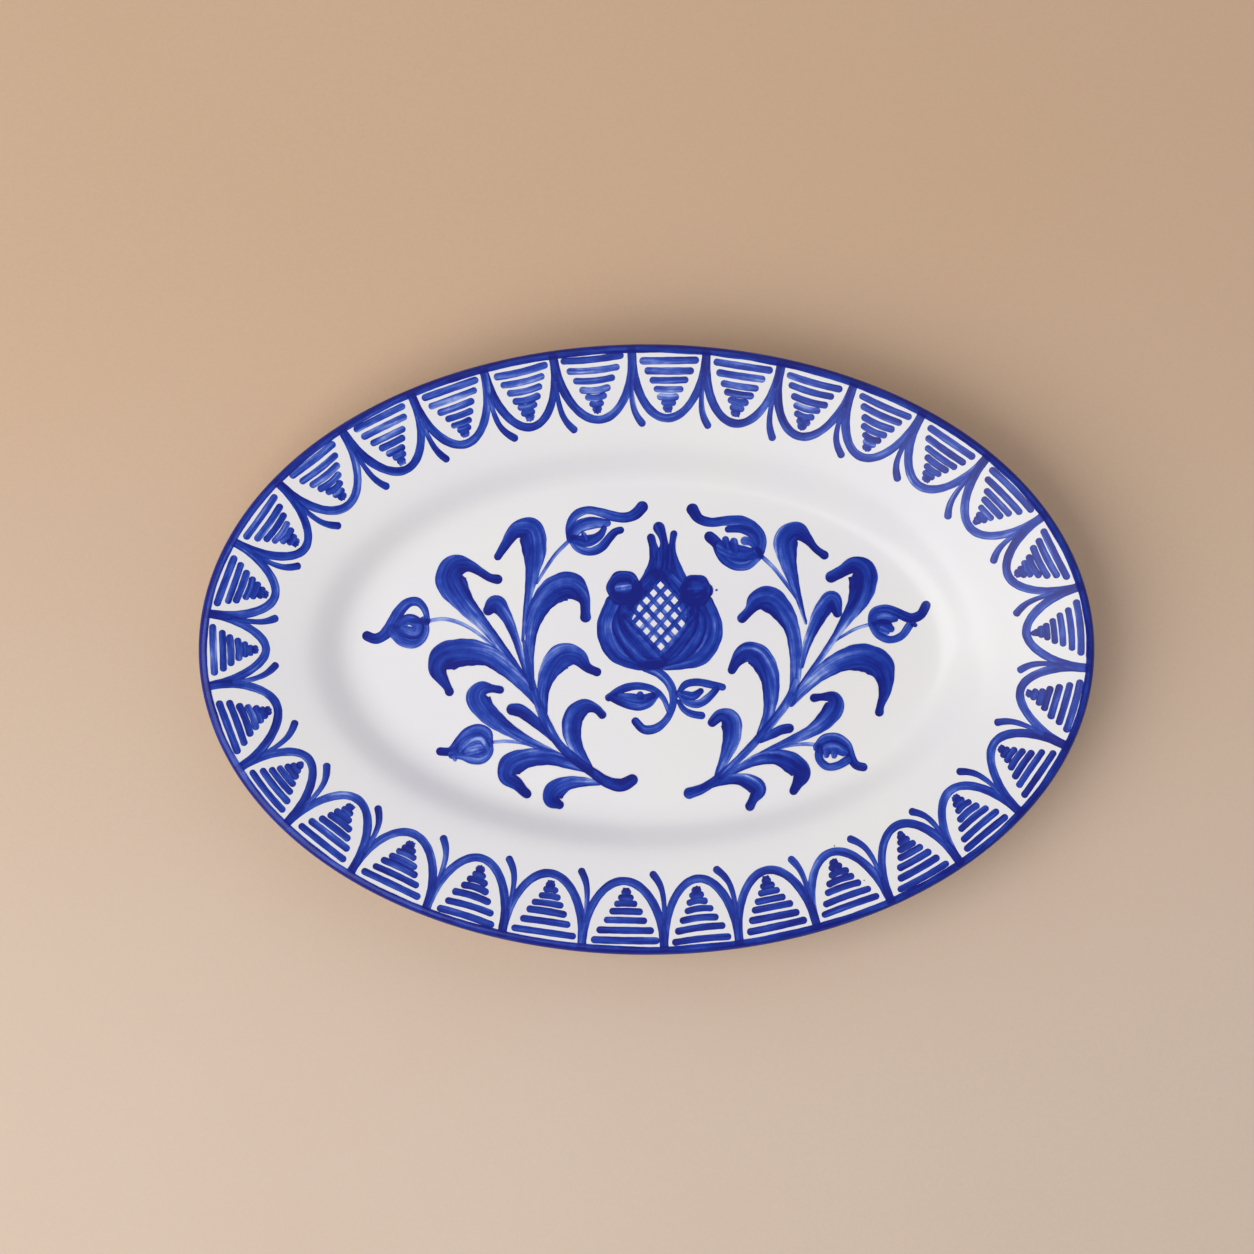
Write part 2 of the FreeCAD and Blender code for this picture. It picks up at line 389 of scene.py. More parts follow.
def spline_points(rings, count):
    """Points on the clamped cubic spline with these control rings."""
    degree = 3
    rings = np.array(rings, float)
    spans = len(rings) - degree
    knots = np.concatenate([[0] * degree, np.arange(spans + 1), [spans] * degree])
    points = []
    for t in np.linspace(0, spans, count):
        span = min(int(t), spans - 1)
        work = [rings[span + offset] for offset in range(degree + 1)]
        for level in range(1, degree + 1):
            for offset in range(degree, level - 1, -1):
                start = knots[span + offset]
                end = knots[span + offset + degree - level + 1]
                share = (t - start) / (end - start)
                work[offset] = (1 - share) * work[offset - 1] + share * work[offset]
        points.append(tuple(work[degree]))
    return points


def inset(points, depth):
    """The skin one glaze thickness further in, under a row of points with the clay on its right."""
    result = []
    for index, point in enumerate(points):
        before = points[max(index - 1, 0)]
        after = points[min(index + 1, len(points) - 1)]
        outward = (after[0] - before[0] + after[1] - before[1]) / 2
        upward = after[2] - before[2]
        length = math.hypot(outward, upward)
        result.append(moved(point, depth * upward / length, -depth * outward / length))
    return result


LIP_TOP = lip_point(RIM_SLOPE + QUARTER, LIP_RADIUS)
LIP_UNDER = lip_point(RIM_SLOPE - QUARTER, LIP_RADIUS)
FACE_RINGS = [
    (99.0, 52.0, FLOOR_HEIGHT),
    (105.5, 58.0, FLOOR_HEIGHT),
    (112.0, 64.0, 8.9),
    (118.0, 69.0, 13.5),
    (124.5, 74.0, 18.6),
    (132.0, 80.5, 21.0),
    (142.0, 90.5, 24.0),
    along_rim(LIP_TOP, TANGENT_LEG),
    LIP_TOP,
]
BACK_RINGS = [
    LIP_UNDER,
    along_rim(LIP_UNDER, TANGENT_LEG),
    (143.0, 91.0, 18.2),
    (133.0, 81.5, 15.0),
    (125.5, 75.0, 11.2),
    (117.5, 68.0, 5.6),
    (109.5, 61.0, 4.4),
    moved((*FOOT_OUTER, GLAZE_LINE), GLAZE, FOOT_FILLET),
    moved((*FOOT_OUTER, GLAZE_LINE), GLAZE, 0.0),
]
RECESS_RINGS = [
    moved((*FOOT_INNER, GLAZE_LINE), -GLAZE, 0.0),
    moved((*FOOT_INNER, GLAZE_LINE), -GLAZE, RECESS_WALL),
    moved((*FOOT_INNER, RECESS_HEIGHT), -GLAZE - RECESS_TURN, 0.0),
    moved((*FOOT_INNER, RECESS_HEIGHT), -GLAZE - RECESS_FLAT, 0.0),
]
FLOOR_STEPS = 40
floor_fan = [(99.0 * t, 52.0 * t, FLOOR_HEIGHT) for t in np.linspace(0, 1, FLOOR_STEPS)[:-1]]
recess_fan = [(95.0 * t, 46.5 * t, RECESS_HEIGHT) for t in (0.95, 0.6, 0.3, 0.0)]
BAND_ANGLE = math.radians(72)   # the blue coat of the lip starts here, below the painted band's edge
LIP_TOP_ANGLE = RIM_SLOPE + QUARTER
LIP_UNDER_ANGLE = RIM_SLOPE - QUARTER
face_skin = floor_fan + spline_points(FACE_RINGS, 72)
face_skin += lip_arc(LIP_RADIUS, LIP_TOP_ANGLE, BAND_ANGLE, 6)[1:]
back_skin = spline_points(BACK_RINGS, 60)
recess_skin = spline_points(RECESS_RINGS, 12) + recess_fan
print("profile points:", len(face_skin), len(back_skin), len(recess_skin))

# %% [markdown]
# Each coat of glaze is a closed shell: out along its glossy skin and back along the clay. The hidden
# side needs fewer points, but enough that its straight steps don't cut up through the thin coat.

# %% Closed profiles
HIDDEN_STEPS = 32


def closed_coat(skin):
    """Profile that runs along the skin and back underneath it, coarsely."""
    under = inset(skin, GLAZE)
    picks = sorted(set(np.linspace(0, len(under) - 1, HIDDEN_STEPS).astype(int)))
    return skin + [under[index] for index in reversed(picks)]


FOOT_EDGE_RADIUS = 0.8
outer_turn = (FOOT_OUTER[0] - FOOT_EDGE_RADIUS, FOOT_OUTER[1] - FOOT_EDGE_RADIUS, FOOT_EDGE_RADIUS)
inner_turn = (FOOT_INNER[0] + FOOT_EDGE_RADIUS, FOOT_INNER[1] + FOOT_EDGE_RADIUS, FOOT_EDGE_RADIUS)
turn_angles = np.linspace(0, QUARTER, 5)
foot = [moved(outer_turn, FOOT_EDGE_RADIUS * math.cos(angle), -FOOT_EDGE_RADIUS * math.sin(angle))
        for angle in turn_angles]
foot += [moved(inner_turn, -FOOT_EDGE_RADIUS * math.sin(angle), -FOOT_EDGE_RADIUS * math.cos(angle))
         for angle in turn_angles]
clay_skin = inset(face_skin, GLAZE)[::4]
clay_skin += lip_arc(LIP_RADIUS - GLAZE, BAND_ANGLE, LIP_UNDER_ANGLE, 9)
clay_skin += inset(back_skin, GLAZE)[2::3] + [(*FOOT_OUTER, GLAZE_LINE)]
clay_skin += foot + [(*FOOT_INNER, GLAZE_LINE)] + inset(recess_skin, GLAZE)[1:]
lip_skin = lip_arc(LIP_RADIUS, BAND_ANGLE, LIP_UNDER_ANGLE, 15)
lip_underside = lip_arc(LIP_RADIUS - GLAZE, LIP_UNDER_ANGLE, BAND_ANGLE, 9)
PROFILES = {
    "face_glaze": closed_coat(face_skin),
    "lip_band": lip_skin + lip_underside + lip_skin[:1],
    "back_glaze": closed_coat(back_skin) + back_skin[:1],
    "foot_recess_glaze": closed_coat(recess_skin) + recess_skin[:1],
    "clay_body": clay_skin,
}
print("points of each closed profile:", {node: len(points) for node, points in PROFILES.items()})

# %% [markdown]
# The lathe is a grid with one row for each profile point. Each vertex looks up its profile point, and
# its column is the angle round the oval. A slow noise lifts and sinks the skin by less than a tenth of
# a millimetre, which is what makes reflections on handmade ware swim. Merging by distance closes the
# seam and the poles.

# %% The oval lathe
SHARP_ANGLE = math.radians(40)
SETTLED_HEIGHT = 6 * MM         # the waviness fades out below this, so the foot stands flat


def hold(tree, geometry, kind, name, value):
    """Carry a value along with the geometry. Gives the geometry and the held value."""
    node = add_node(tree, "GeometryNodeCaptureAttribute", {"Geometry": geometry})
    node.capture_items.new(kind, name)
    tree.links.new(value, node.inputs[name])
    return node.outputs["Geometry"], node.outputs[name]


def build_lathe():
    """Geometry nodes that turn a profile of (half length, half width, height) into an oval skin."""
    tree, group_in, group_out = new_geometry_tree("oval_lathe", [
        ("Profile", "Object"), ("Around", "Int"), ("Waviness", "Float"), ("Wave Size", "Float"),
        ("Material", "Material")])
    profile = add_node(tree, "GeometryNodeObjectInfo", {"Object": group_in.outputs["Profile"]})
    count = add_node(tree, "GeometryNodeAttributeDomainSize", {"Geometry": profile.outputs["Geometry"]})
    rows = count.outputs["Point Count"]
    columns = add_node(tree, "ShaderNodeMath", {0: group_in.outputs["Around"], 1: 1.0}).outputs[0]
    grid = add_node(tree, "GeometryNodeMeshGrid", {
        "Size X": 1.0, "Size Y": 1.0, "Vertices X": rows, "Vertices Y": columns})
    spot = add_node(tree, "GeometryNodeInputPosition")
    shifted = add_node(tree, "ShaderNodeVectorMath", {0: spot.outputs[0], 1: (0.5, 0.5, 0.0)})
    parts = add_node(tree, "ShaderNodeSeparateXYZ", {0: shifted.outputs[0]})
    last_row = add_math(tree, "SUBTRACT", rows, 1.0)
    row = add_math(tree, "ROUND", add_math(tree, "MULTIPLY", parts.outputs["X"], last_row))
    ring = add_node(tree, "GeometryNodeSampleIndex", {
        "Geometry": profile.outputs["Geometry"], "Index": row, "Value": spot.outputs[0]},
        data_type="FLOAT_VECTOR")
    sizes = add_node(tree, "ShaderNodeSeparateXYZ", {0: ring.outputs[0]})
    angle = add_math(tree, "MULTIPLY", parts.outputs["Y"], math.tau)
    diagonal = add_math(tree, "SINE", add_math(tree, "MULTIPLY", angle, 2.0))
    share_of_rim = add_math(tree, "DIVIDE", sizes.outputs["X"], HALF_LENGTH * MM)
    near_rim = add_math(tree, "POWER", share_of_rim, 4.0)
    swell = add_math(tree, "MULTIPLY", add_math(tree, "POWER", diagonal, 2.0), near_rim)
    swell = add_math(tree, "ADD", add_math(tree, "MULTIPLY", swell, FULLNESS), 1.0)
    x = add_math(tree, "MULTIPLY", add_math(tree, "MULTIPLY", sizes.outputs["X"], swell),
                 add_math(tree, "COSINE", angle))
    y = add_math(tree, "MULTIPLY", add_math(tree, "MULTIPLY", sizes.outputs["Y"], swell),
                 add_math(tree, "SINE", angle))
    skin_point = add_node(tree, "ShaderNodeCombineXYZ", {"X": x, "Y": y, "Z": sizes.outputs["Z"]})
    around_length = (HALF_LENGTH + HALF_WIDTH) * math.pi * MM
    along = add_math(tree, "MULTIPLY", parts.outputs["Y"], around_length)
    across = add_math(tree, "MULTIPLY", parts.outputs["X"], 2 * math.pi * LIP_RADIUS * MM)
    brush = add_node(tree, "ShaderNodeCombineXYZ", {"X": along, "Y": across})
    held_grid, held_brush = hold(tree, grid.outputs["Mesh"], "VECTOR", "Brush", brush.outputs[0])
    held_grid, held_skin = hold(tree, held_grid, "VECTOR", "Skin", skin_point.outputs[0])
    turned = add_node(tree, "GeometryNodeSetPosition", {"Geometry": held_grid, "Position": held_skin})
    mapped = add_node(tree, "GeometryNodeStoreNamedAttribute", {
        "Geometry": turned.outputs["Geometry"], "Name": "brush", "Value": held_brush},
        data_type="FLOAT2", domain="CORNER")
    wave = add_node(tree, "ShaderNodeTexNoise", {
        "Vector": spot.outputs[0], "Scale": group_in.outputs["Wave Size"], "Detail": 1.0})
    centred = add_math(tree, "SUBTRACT", wave.outputs["Fac"], 0.5)
    # Sockets are worked out where they are used: the turned skin's Z is its height on the plate.
    settled = add_math(tree, "DIVIDE", parts.outputs["Z"], SETTLED_HEIGHT, clamp=True)
    wave_height = add_math(tree, "MULTIPLY", group_in.outputs["Waviness"], settled)
    lift = add_math(tree, "MULTIPLY", centred, wave_height)
    offset = add_node(tree, "ShaderNodeCombineXYZ", {"Z": lift})
    waved = add_node(tree, "GeometryNodeSetPosition", {
        "Geometry": mapped.outputs["Geometry"], "Offset": offset.outputs[0]})
    merged = add_node(tree, "GeometryNodeMergeByDistance", {
        "Geometry": waved.outputs["Geometry"], "Distance": 1e-6})
    smooth = add_node(tree, "GeometryNodeSetShadeSmooth", {"Geometry": merged.outputs["Geometry"]})
    bend = add_node(tree, "GeometryNodeInputMeshEdgeAngle")
    is_sharp = add_math(tree, "GREATER_THAN", bend.outputs["Unsigned Angle"], SHARP_ANGLE)
    creased = add_node(tree, "GeometryNodeSetShadeSmooth", {
        "Geometry": smooth.outputs["Geometry"], "Selection": is_sharp, "Shade Smooth": False}, domain="EDGE")
    real = add_node(tree, "GeometryNodeRealizeInstances", {"Geometry": creased.outputs["Geometry"]})
    coloured = add_node(tree, "GeometryNodeSetMaterial", {
        "Geometry": real.outputs["Geometry"], "Material": group_in.outputs["Material"]})
    tree.links.new(coloured.outputs["Geometry"], group_out.inputs["Geometry"])
    return tree


oval_lathe = build_lathe()


def line_object(name, points):
    """Object that holds a row of points joined by edges, for a node tree to read."""
    mesh = bpy.data.meshes.new(name)
    mesh.from_pydata([tuple(point) for point in points], [(i, i + 1) for i in range(len(points) - 1)], [])
    holder = bpy.data.objects.new(name, mesh)
    scene.collection.objects.link(holder)
    return holder


AROUND = 384
WAVINESS = 0.25 * MM
WAVE_SIZE = 1 / (45 * MM)
COATS = {
    "face_glaze": (tin_glaze, "white_glaze", AROUND),
    "lip_band": (cobalt_lip, "cobalt_glaze", AROUND),
    "back_glaze": (tin_glaze, "white_glaze", AROUND),
    "foot_recess_glaze": (tin_glaze, "white_glaze", AROUND // 2),
    "clay_body": (bare_clay, "fired_clay", AROUND // 2),
}
plate_parts = {}
for node, (material, slot, around) in COATS.items():
    profile = line_object(node + "_profile", np.array(PROFILES[node]) * MM)
    piece = mesh_from_nodes(node + "_skin", bpy.data.meshes.new("blank"), oval_lathe, {
        "Profile": profile, "Around": around, "Waviness": WAVINESS, "Wave Size": WAVE_SIZE,
        "Material": material})
    bpy.data.objects.remove(profile)
    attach(piece, "root")
    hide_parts(node)
    plate_parts[node] = piece

# %% [markdown]
# ## Brush strokes
#
# Every mark on the plate is one pull of a round brush, so each is a path with a width that changes
# along it: thin where the brush touches down, wide where it is pressed, round where it lifts. A stroke
# is written as a few stations (x, y, width) in millimetres, and a smooth curve runs through them. The
# painter's hand is never quite steady, which is the small seeded waver in the width.

# %% From stations to a smooth path
STEP = 0.5                      # distance between the points of a stroke
SMOOTHING_PASSES = 5
hand = random.Random(1492)


def smooth_path(stations):
    """Points every STEP along a smooth curve through (x, y, width) stations."""
    stations = np.array(stations, float)
    gaps = np.linalg.norm(np.diff(stations[:, :2], axis=0), axis=1)
    spans = np.sqrt(np.maximum(gaps, 1e-6))
    chords = np.diff(stations, axis=0) / spans[:, None]
    slopes = np.vstack([chords[:1], chords[-1:]])
    if len(stations) > 2:
        before, after = spans[:-1, None], spans[1:, None]
        inner_slopes = (chords[:-1] * after + chords[1:] * before) / (before + after)
        slopes = np.vstack([slopes[:1], inner_slopes, slopes[1:]])
    points = []
    for index, span in enumerate(spans):
        count = max(2, round(gaps[index] / STEP))
        t = np.linspace(0, 1, count, endpoint=False)[:, None]
        points.append((2 * t**3 - 3 * t**2 + 1) * stations[index]
                      + (t**3 - 2 * t**2 + t) * span * slopes[index]
                      + (3 * t**2 - 2 * t**3) * stations[index + 1]
                      + (t**3 - t**2) * span * slopes[index + 1])
    path = np.vstack(points + [stations[-1:]])
    for _ in range(SMOOTHING_PASSES):
        path[1:-1] = (path[:-2] + 2 * path[1:-1] + path[2:]) / 4
    return path


def round_ends(path):
    """Add a round cap at both ends, as wide as the path is there."""
    angles = np.radians([20, 40, 58, 73, 86])[:, None]
    caps = []
    for end, neighbour in ((path[0], path[1]), (path[-1], path[-2])):
        away = (end[:2] - neighbour[:2]) / max(np.linalg.norm(end[:2] - neighbour[:2]), 1e-9)
        places = end[:2] + away * np.sin(angles) * end[2] / 2
        caps.append(np.hstack([places, np.cos(angles) * end[2]]))
    return np.vstack([caps[0][::-1], path, caps[1]])


# %% [markdown]
# A stroke that turns tighter than half its own width would fold over itself on the inside of the
# bend. A real brush can't do that, it pivots, so the inner edge is held back to the centre of the
# bend. That is also what gives the leaves their sharp inner notch.

# %% From a path to a stroke
PIVOT = 0.96                    # how close to the centre of a bend the inner edge may come


def brush_stroke(stations, load=(0.5, 0.45, 0.65), inner=0.0, level=0):
    """A stroke as rows: x, y, reach left, reach right, paint load, distance along, inner shade, level.

    load is how much paint lies at the start, the middle and the end. inner darkens the side that the
    stroke curls towards. A higher level lies over a lower one.
    """
    path = round_ends(smooth_path(stations))
    moves = np.diff(path[:, :2], axis=0)
    steps = np.linalg.norm(moves, axis=1)
    along = np.concatenate([[0.0], np.cumsum(steps)])
    waver = 1.0
    for wavelength, depth in ((11.0, 0.02), (4.3, 0.015)):
        waver = waver + depth * np.sin(along * math.tau / wavelength + hand.uniform(0, math.tau))
    reach = path[:, 2] / 2 * waver
    headings = np.unwrap(np.arctan2(moves[:, 1], moves[:, 0]))
    bend = np.zeros(len(path))
    bend[1:-1] = np.diff(headings) / np.maximum((steps[:-1] + steps[1:]) / 2, 0.2)
    bend = np.convolve(bend, np.ones(5) / 5, "same")
    left_limit = np.where(bend > 1e-6, PIVOT / np.maximum(bend, 1e-6), 1e6)
    right_limit = np.where(bend < -1e-6, PIVOT / np.maximum(-bend, 1e-6), 1e6)
    t = along / along[-1]
    paint = load[0] * (1 - t) ** 2 + 2 * load[1] * t * (1 - t) + load[2] * t ** 2
    paint = paint + hand.uniform(-0.06, 0.06)
    curl = math.copysign(1.0, headings[-1] - headings[0])
    return np.column_stack([
        path[:, 0], path[:, 1], np.minimum(reach, left_limit), np.minimum(reach, right_limit), paint,
        along + hand.uniform(0, 5000), np.full(len(path), inner * curl), level + 0.8 * t])


# %% [markdown]
# ## Laying strokes on the glaze
#
# A flat drawing of strokes becomes paint in geometry nodes. The tree turns each row of points into a
# curve, sweeps a straight row of bristles along it, sets each bristle at its reach left or right of
# the path, and drops every point onto the glaze with a ray, a hair's breadth above it. Strokes of a
# border are drawn on a straight strip first, with x along the rim and y inwards, and the tree can bend
# that strip round the rim line before it sweeps.

# %% The brushwork tree
ATTRIBUTES = ("reach_left", "reach_right", "load", "along", "inner", "level")
BRISTLES = 11
ABOVE_PLATE = 0.2


def read_named(tree, name):
    """Socket that reads a named attribute of the strokes."""
    return add_node(tree, "GeometryNodeInputNamedAttribute", {"Name": name}, data_type="FLOAT").outputs[0]


def add_vector_math(tree, operation, first, second=None, scale=None):
    """Socket with the result of one vector sum."""
    inputs = {0: first}
    if second is not None:
        inputs[1] = second
    if scale is not None:
        inputs["Scale"] = scale
    return add_node(tree, "ShaderNodeVectorMath", inputs, operation=operation).outputs[0]


def bend_round_rim(tree, curve, rim_object, wanted):
    """Move strip points (distance along the rim, distance in from it) to their place on the plate."""
    position = add_node(tree, "GeometryNodeInputPosition").outputs[0]
    strip = add_node(tree, "ShaderNodeSeparateXYZ", {0: position})
    rim = add_node(tree, "GeometryNodeObjectInfo", {"Object": rim_object})
    rim_curve = add_node(tree, "GeometryNodeMeshToCurve", {"Mesh": rim.outputs["Geometry"]})
    on_rim = add_node(tree, "GeometryNodeSampleCurve", {
        "Curves": rim_curve.outputs["Curve"], "Length": strip.outputs["X"]},
        mode="LENGTH", use_all_curves=True)
    inward = add_vector_math(tree, "CROSS_PRODUCT", on_rim.outputs["Tangent"], (0.0, 0.0, 1.0))
    inward = add_vector_math(tree, "NORMALIZE", inward)
    step_in = add_vector_math(tree, "SCALE", inward, scale=strip.outputs["Y"])
    place = add_vector_math(tree, "ADD", on_rim.outputs["Position"], step_in)
    bent = add_node(tree, "GeometryNodeSetPosition", {
        "Geometry": curve, "Selection": wanted, "Position": place})
    return bent.outputs["Geometry"]


def drop_on_glaze(tree, place, face_object, lip_object, lift):
    """Position straight below a place, on the glaze and lifted by a hair's breadth."""
    glaze = add_node(tree, "GeometryNodeJoinGeometry")
    for target in (face_object, lip_object):
        info = add_node(tree, "GeometryNodeObjectInfo", {"Object": target})
        tree.links.new(info.outputs["Geometry"], glaze.inputs[0])
    flat = add_node(tree, "ShaderNodeSeparateXYZ", {0: place})
    above = add_node(tree, "ShaderNodeCombineXYZ", {
        "X": flat.outputs["X"], "Y": flat.outputs["Y"], "Z": ABOVE_PLATE})
    ray = add_node(tree, "GeometryNodeRaycast", {
        "Target Geometry": glaze.outputs["Geometry"], "Source Position": above.outputs[0],
        "Ray Direction": (0.0, 0.0, -1.0), "Ray Length": 1.0})
    up = add_node(tree, "ShaderNodeCombineXYZ", {"Z": lift})
    return add_vector_math(tree, "ADD", ray.outputs["Hit Position"], up.outputs[0])


def build_brushwork():
    """Geometry nodes that sweep drawn strokes into ribbons of paint that lie on the glaze."""
    tree, group_in, group_out = new_geometry_tree("brushwork", [
        ("Face", "Object"), ("Lip", "Object"), ("Rim Line", "Object"), ("Bend Round Rim", "Bool"),
        ("Bristles", "Int"), ("Lift", "Float"), ("Level Lift", "Float"), ("Material", "Material")])
    drawn = add_node(tree, "GeometryNodeMeshToCurve", {"Mesh": group_in.outputs["Geometry"]})
    curve = bend_round_rim(tree, drawn.outputs["Curve"], group_in.outputs["Rim Line"],
                           group_in.outputs["Bend Round Rim"])
    spot = add_node(tree, "GeometryNodeInputPosition").outputs[0]
    tangent = add_node(tree, "GeometryNodeInputTangent").outputs[0]
    leftward = add_vector_math(tree, "CROSS_PRODUCT", (0.0, 0.0, 1.0), tangent)
    leftward = add_vector_math(tree, "NORMALIZE", leftward)
    curve, centre = hold(tree, curve, "VECTOR", "Centre", spot)
    curve, leftward = hold(tree, curve, "VECTOR", "Leftward", leftward)
    spacing = add_math(tree, "DIVIDE", 2.0, add_math(tree, "SUBTRACT", group_in.outputs["Bristles"], 1.0))
    offset = add_node(tree, "ShaderNodeCombineXYZ", {"X": spacing})
    line = add_node(tree, "GeometryNodeMeshLine", {
        "Count": group_in.outputs["Bristles"], "Start Location": (-1.0, 0.0, 0.0),
        "Offset": offset.outputs[0]})
    side = add_node(tree, "ShaderNodeSeparateXYZ", {0: spot})
    bristles, across = hold(tree, line.outputs["Mesh"], "FLOAT", "Across", side.outputs["X"])
    bristle_curve = add_node(tree, "GeometryNodeMeshToCurve", {"Mesh": bristles})
    ribbon = add_node(tree, "GeometryNodeCurveToMesh", {
        "Curve": curve, "Profile Curve": bristle_curve.outputs["Curve"]})
    leftness = add_math(tree, "MAXIMUM", across, 0.0)
    rightness = add_math(tree, "MINIMUM", across, 0.0)
    reach = add_math(tree, "ADD", add_math(tree, "MULTIPLY", leftness, read_named(tree, "reach_left")),
                     add_math(tree, "MULTIPLY", rightness, read_named(tree, "reach_right")))
    flat_place = add_vector_math(tree, "ADD", centre, add_vector_math(tree, "SCALE", leftward, scale=reach))
    lift = add_math(tree, "MULTIPLY", read_named(tree, "level"), group_in.outputs["Level Lift"])
    lift = add_math(tree, "ADD", lift, group_in.outputs["Lift"])
    laid_place = drop_on_glaze(tree, flat_place, group_in.outputs["Face"], group_in.outputs["Lip"], lift)
    laid = add_node(tree, "GeometryNodeSetPosition", {
        "Geometry": ribbon.outputs["Mesh"], "Position": laid_place})
    brush = add_node(tree, "ShaderNodeCombineXYZ", {"X": read_named(tree, "along"), "Y": reach})
    mapped = add_node(tree, "GeometryNodeStoreNamedAttribute", {
        "Geometry": laid.outputs["Geometry"], "Name": "brush", "Value": brush.outputs[0]},
        data_type="FLOAT2", domain="CORNER")
    sided = add_node(tree, "GeometryNodeStoreNamedAttribute", {
        "Geometry": mapped.outputs["Geometry"], "Name": "across", "Value": across},
        data_type="FLOAT", domain="POINT")
    smooth = add_node(tree, "GeometryNodeSetShadeSmooth", {"Geometry": sided.outputs["Geometry"]})
    real = add_node(tree, "GeometryNodeRealizeInstances", {"Geometry": smooth.outputs["Geometry"]})
    coloured = add_node(tree, "GeometryNodeSetMaterial", {
        "Geometry": real.outputs["Geometry"], "Material": group_in.outputs["Material"]})
    tree.links.new(coloured.outputs["Geometry"], group_out.inputs["Geometry"])
    return tree


brushwork = build_brushwork()

# %% [markdown]
# The border is drawn against one line, the outermost oval of the rim, with distances measured along
# it. The line runs clockwise from the right-hand end and a little past its own start, so that the
# border can close.

# %% The rim line
RIM_STEPS = 1440
LAP = 0.5                       # the rim line runs on past its start, so a border can close
turns = np.linspace(0, -math.tau - LAP, RIM_STEPS + 1)
swell = 1 + FULLNESS * np.sin(2 * turns) ** 2
rim_outline = np.column_stack([HALF_LENGTH * np.cos(turns) * swell, HALF_WIDTH * np.sin(turns) * swell])
rim_lengths = np.concatenate([[0.0], np.cumsum(np.linalg.norm(np.diff(rim_outline, axis=0), axis=1))])
RIM_LENGTH = float(np.interp(math.tau, -turns, rim_lengths))
rim_line = line_object("rim_line", np.column_stack([rim_outline, 0 * turns]) * MM)
print("length of the rim in mm:", round(RIM_LENGTH, 1))

# %% [markdown]
# Where two strokes cross, the paint is twice as thick and fires darker. To know where that is, all the
# strokes are stamped on one fine chart of the plate, each adding one layer, and the paint that every
# point of a ribbon shows is then its own load and the layers of the others, with a little more at the
# stroke's edge, where the wet paint gathers.

# %% Charting the layers of paint
CHART_CELL = 0.25
CHART_HALF = (HALF_LENGTH + 2, HALF_WIDTH + 2)
chart = np.zeros([int(2 * half / CHART_CELL) for half in reversed(CHART_HALF)], np.float32)
chart_origin = -np.array(CHART_HALF)
STAMP_MARGIN = 0.15


def round_the_rim(places):
    """Plan position of strip points: distance along the rim line and distance in from it."""
    base = np.column_stack([np.interp(places[:, 0], rim_lengths, rim_outline[:, axis]) for axis in (0, 1)])
    heading = np.gradient(rim_outline, axis=0)
    heading = np.column_stack([np.interp(places[:, 0], rim_lengths, heading[:, axis]) for axis in (0, 1)])
    heading /= np.linalg.norm(heading, axis=1)[:, None]
    return base + np.column_stack([heading[:, 1], -heading[:, 0]]) * places[:, 1:2]


def stamp(stroke, bent):
    """Add one layer to the chart wherever this stroke lies."""
    centres = round_the_rim(stroke[:, :2]) if bent else stroke[:, :2]
    reach = stroke[:, 2:4].max(axis=1) + STAMP_MARGIN
    low = np.maximum(((centres - reach[:, None]).min(axis=0) - chart_origin) // CHART_CELL, 0).astype(int)
    high = (((centres + reach[:, None]).max(axis=0) - chart_origin) // CHART_CELL).astype(int) + 2
    high = np.minimum(high, (chart.shape[1], chart.shape[0]))
    xs = chart_origin[0] + CHART_CELL * np.arange(low[0], high[0])
    ys = chart_origin[1] + CHART_CELL * np.arange(low[1], high[1])
    covered = np.zeros((len(ys), len(xs)), bool)
    for (x, y), radius in zip(centres, reach):
        columns = slice(*np.searchsorted(xs, (x - radius, x + radius)))
        rows = slice(*np.searchsorted(ys, (y - radius, y + radius)))
        square = (xs[None, columns] - x) ** 2 + (ys[rows, None] - y) ** 2
        covered[rows, columns] |= square < radius ** 2
    chart[low[1]:high[1], low[0]:high[0]] += covered


def chart_at(places):
    """Layers of paint at plan positions in mm."""
    cells = (places - chart_origin) / CHART_CELL
    column, row = np.floor(cells).astype(int).T
    u, v = (cells % 1).T
    return (chart[row, column] * (1 - u) * (1 - v) + chart[row, column + 1] * u * (1 - v)
            + chart[row + 1, column] * (1 - u) * v + chart[row + 1, column + 1] * u * v)


# %% [markdown]
# A drawing is a mesh of bare edges with the reach, load and travel of the brush stored on its points.
# The node tree turns it into ribbons. The paint on each point is then added up from the stroke's load,
# its inner side, its edge and its crossings, and what was only needed on the way is removed again.

# %% From strokes to a painted piece
LIFT = 0.03 * MM                # how far the lowest paint lies above the glaze
LEVEL_LIFT = 0.012 * MM         # and each stroke above the one it crosses
EDGE_POOL = 0.09                # extra paint at the edge of a stroke
CROSSING = 0.16                 # extra paint for each stroke underneath
MOST_LAYERS = 3


def draw_strokes(name, strokes):
    """Mesh of points and edges that carries the strokes and their attributes into the node tree."""
    rows = np.vstack(strokes)
    ends = set(np.cumsum([len(stroke) for stroke in strokes]).tolist())
    edges = [(i, i + 1) for i in range(len(rows) - 1) if i + 1 not in ends]
    mesh = bpy.data.meshes.new(name + "_drawing")
    mesh.from_pydata([(x * MM, y * MM, 0.0) for x, y in rows[:, :2]], edges, [])
    for column, attribute in enumerate(ATTRIBUTES, start=2):
        layer = mesh.attributes.new(attribute, "FLOAT", "POINT")
        scale = MM if attribute in ("reach_left", "reach_right", "along") else 1.0
        layer.data.foreach_set("value", (rows[:, column] * scale).astype(np.float32))
    return mesh


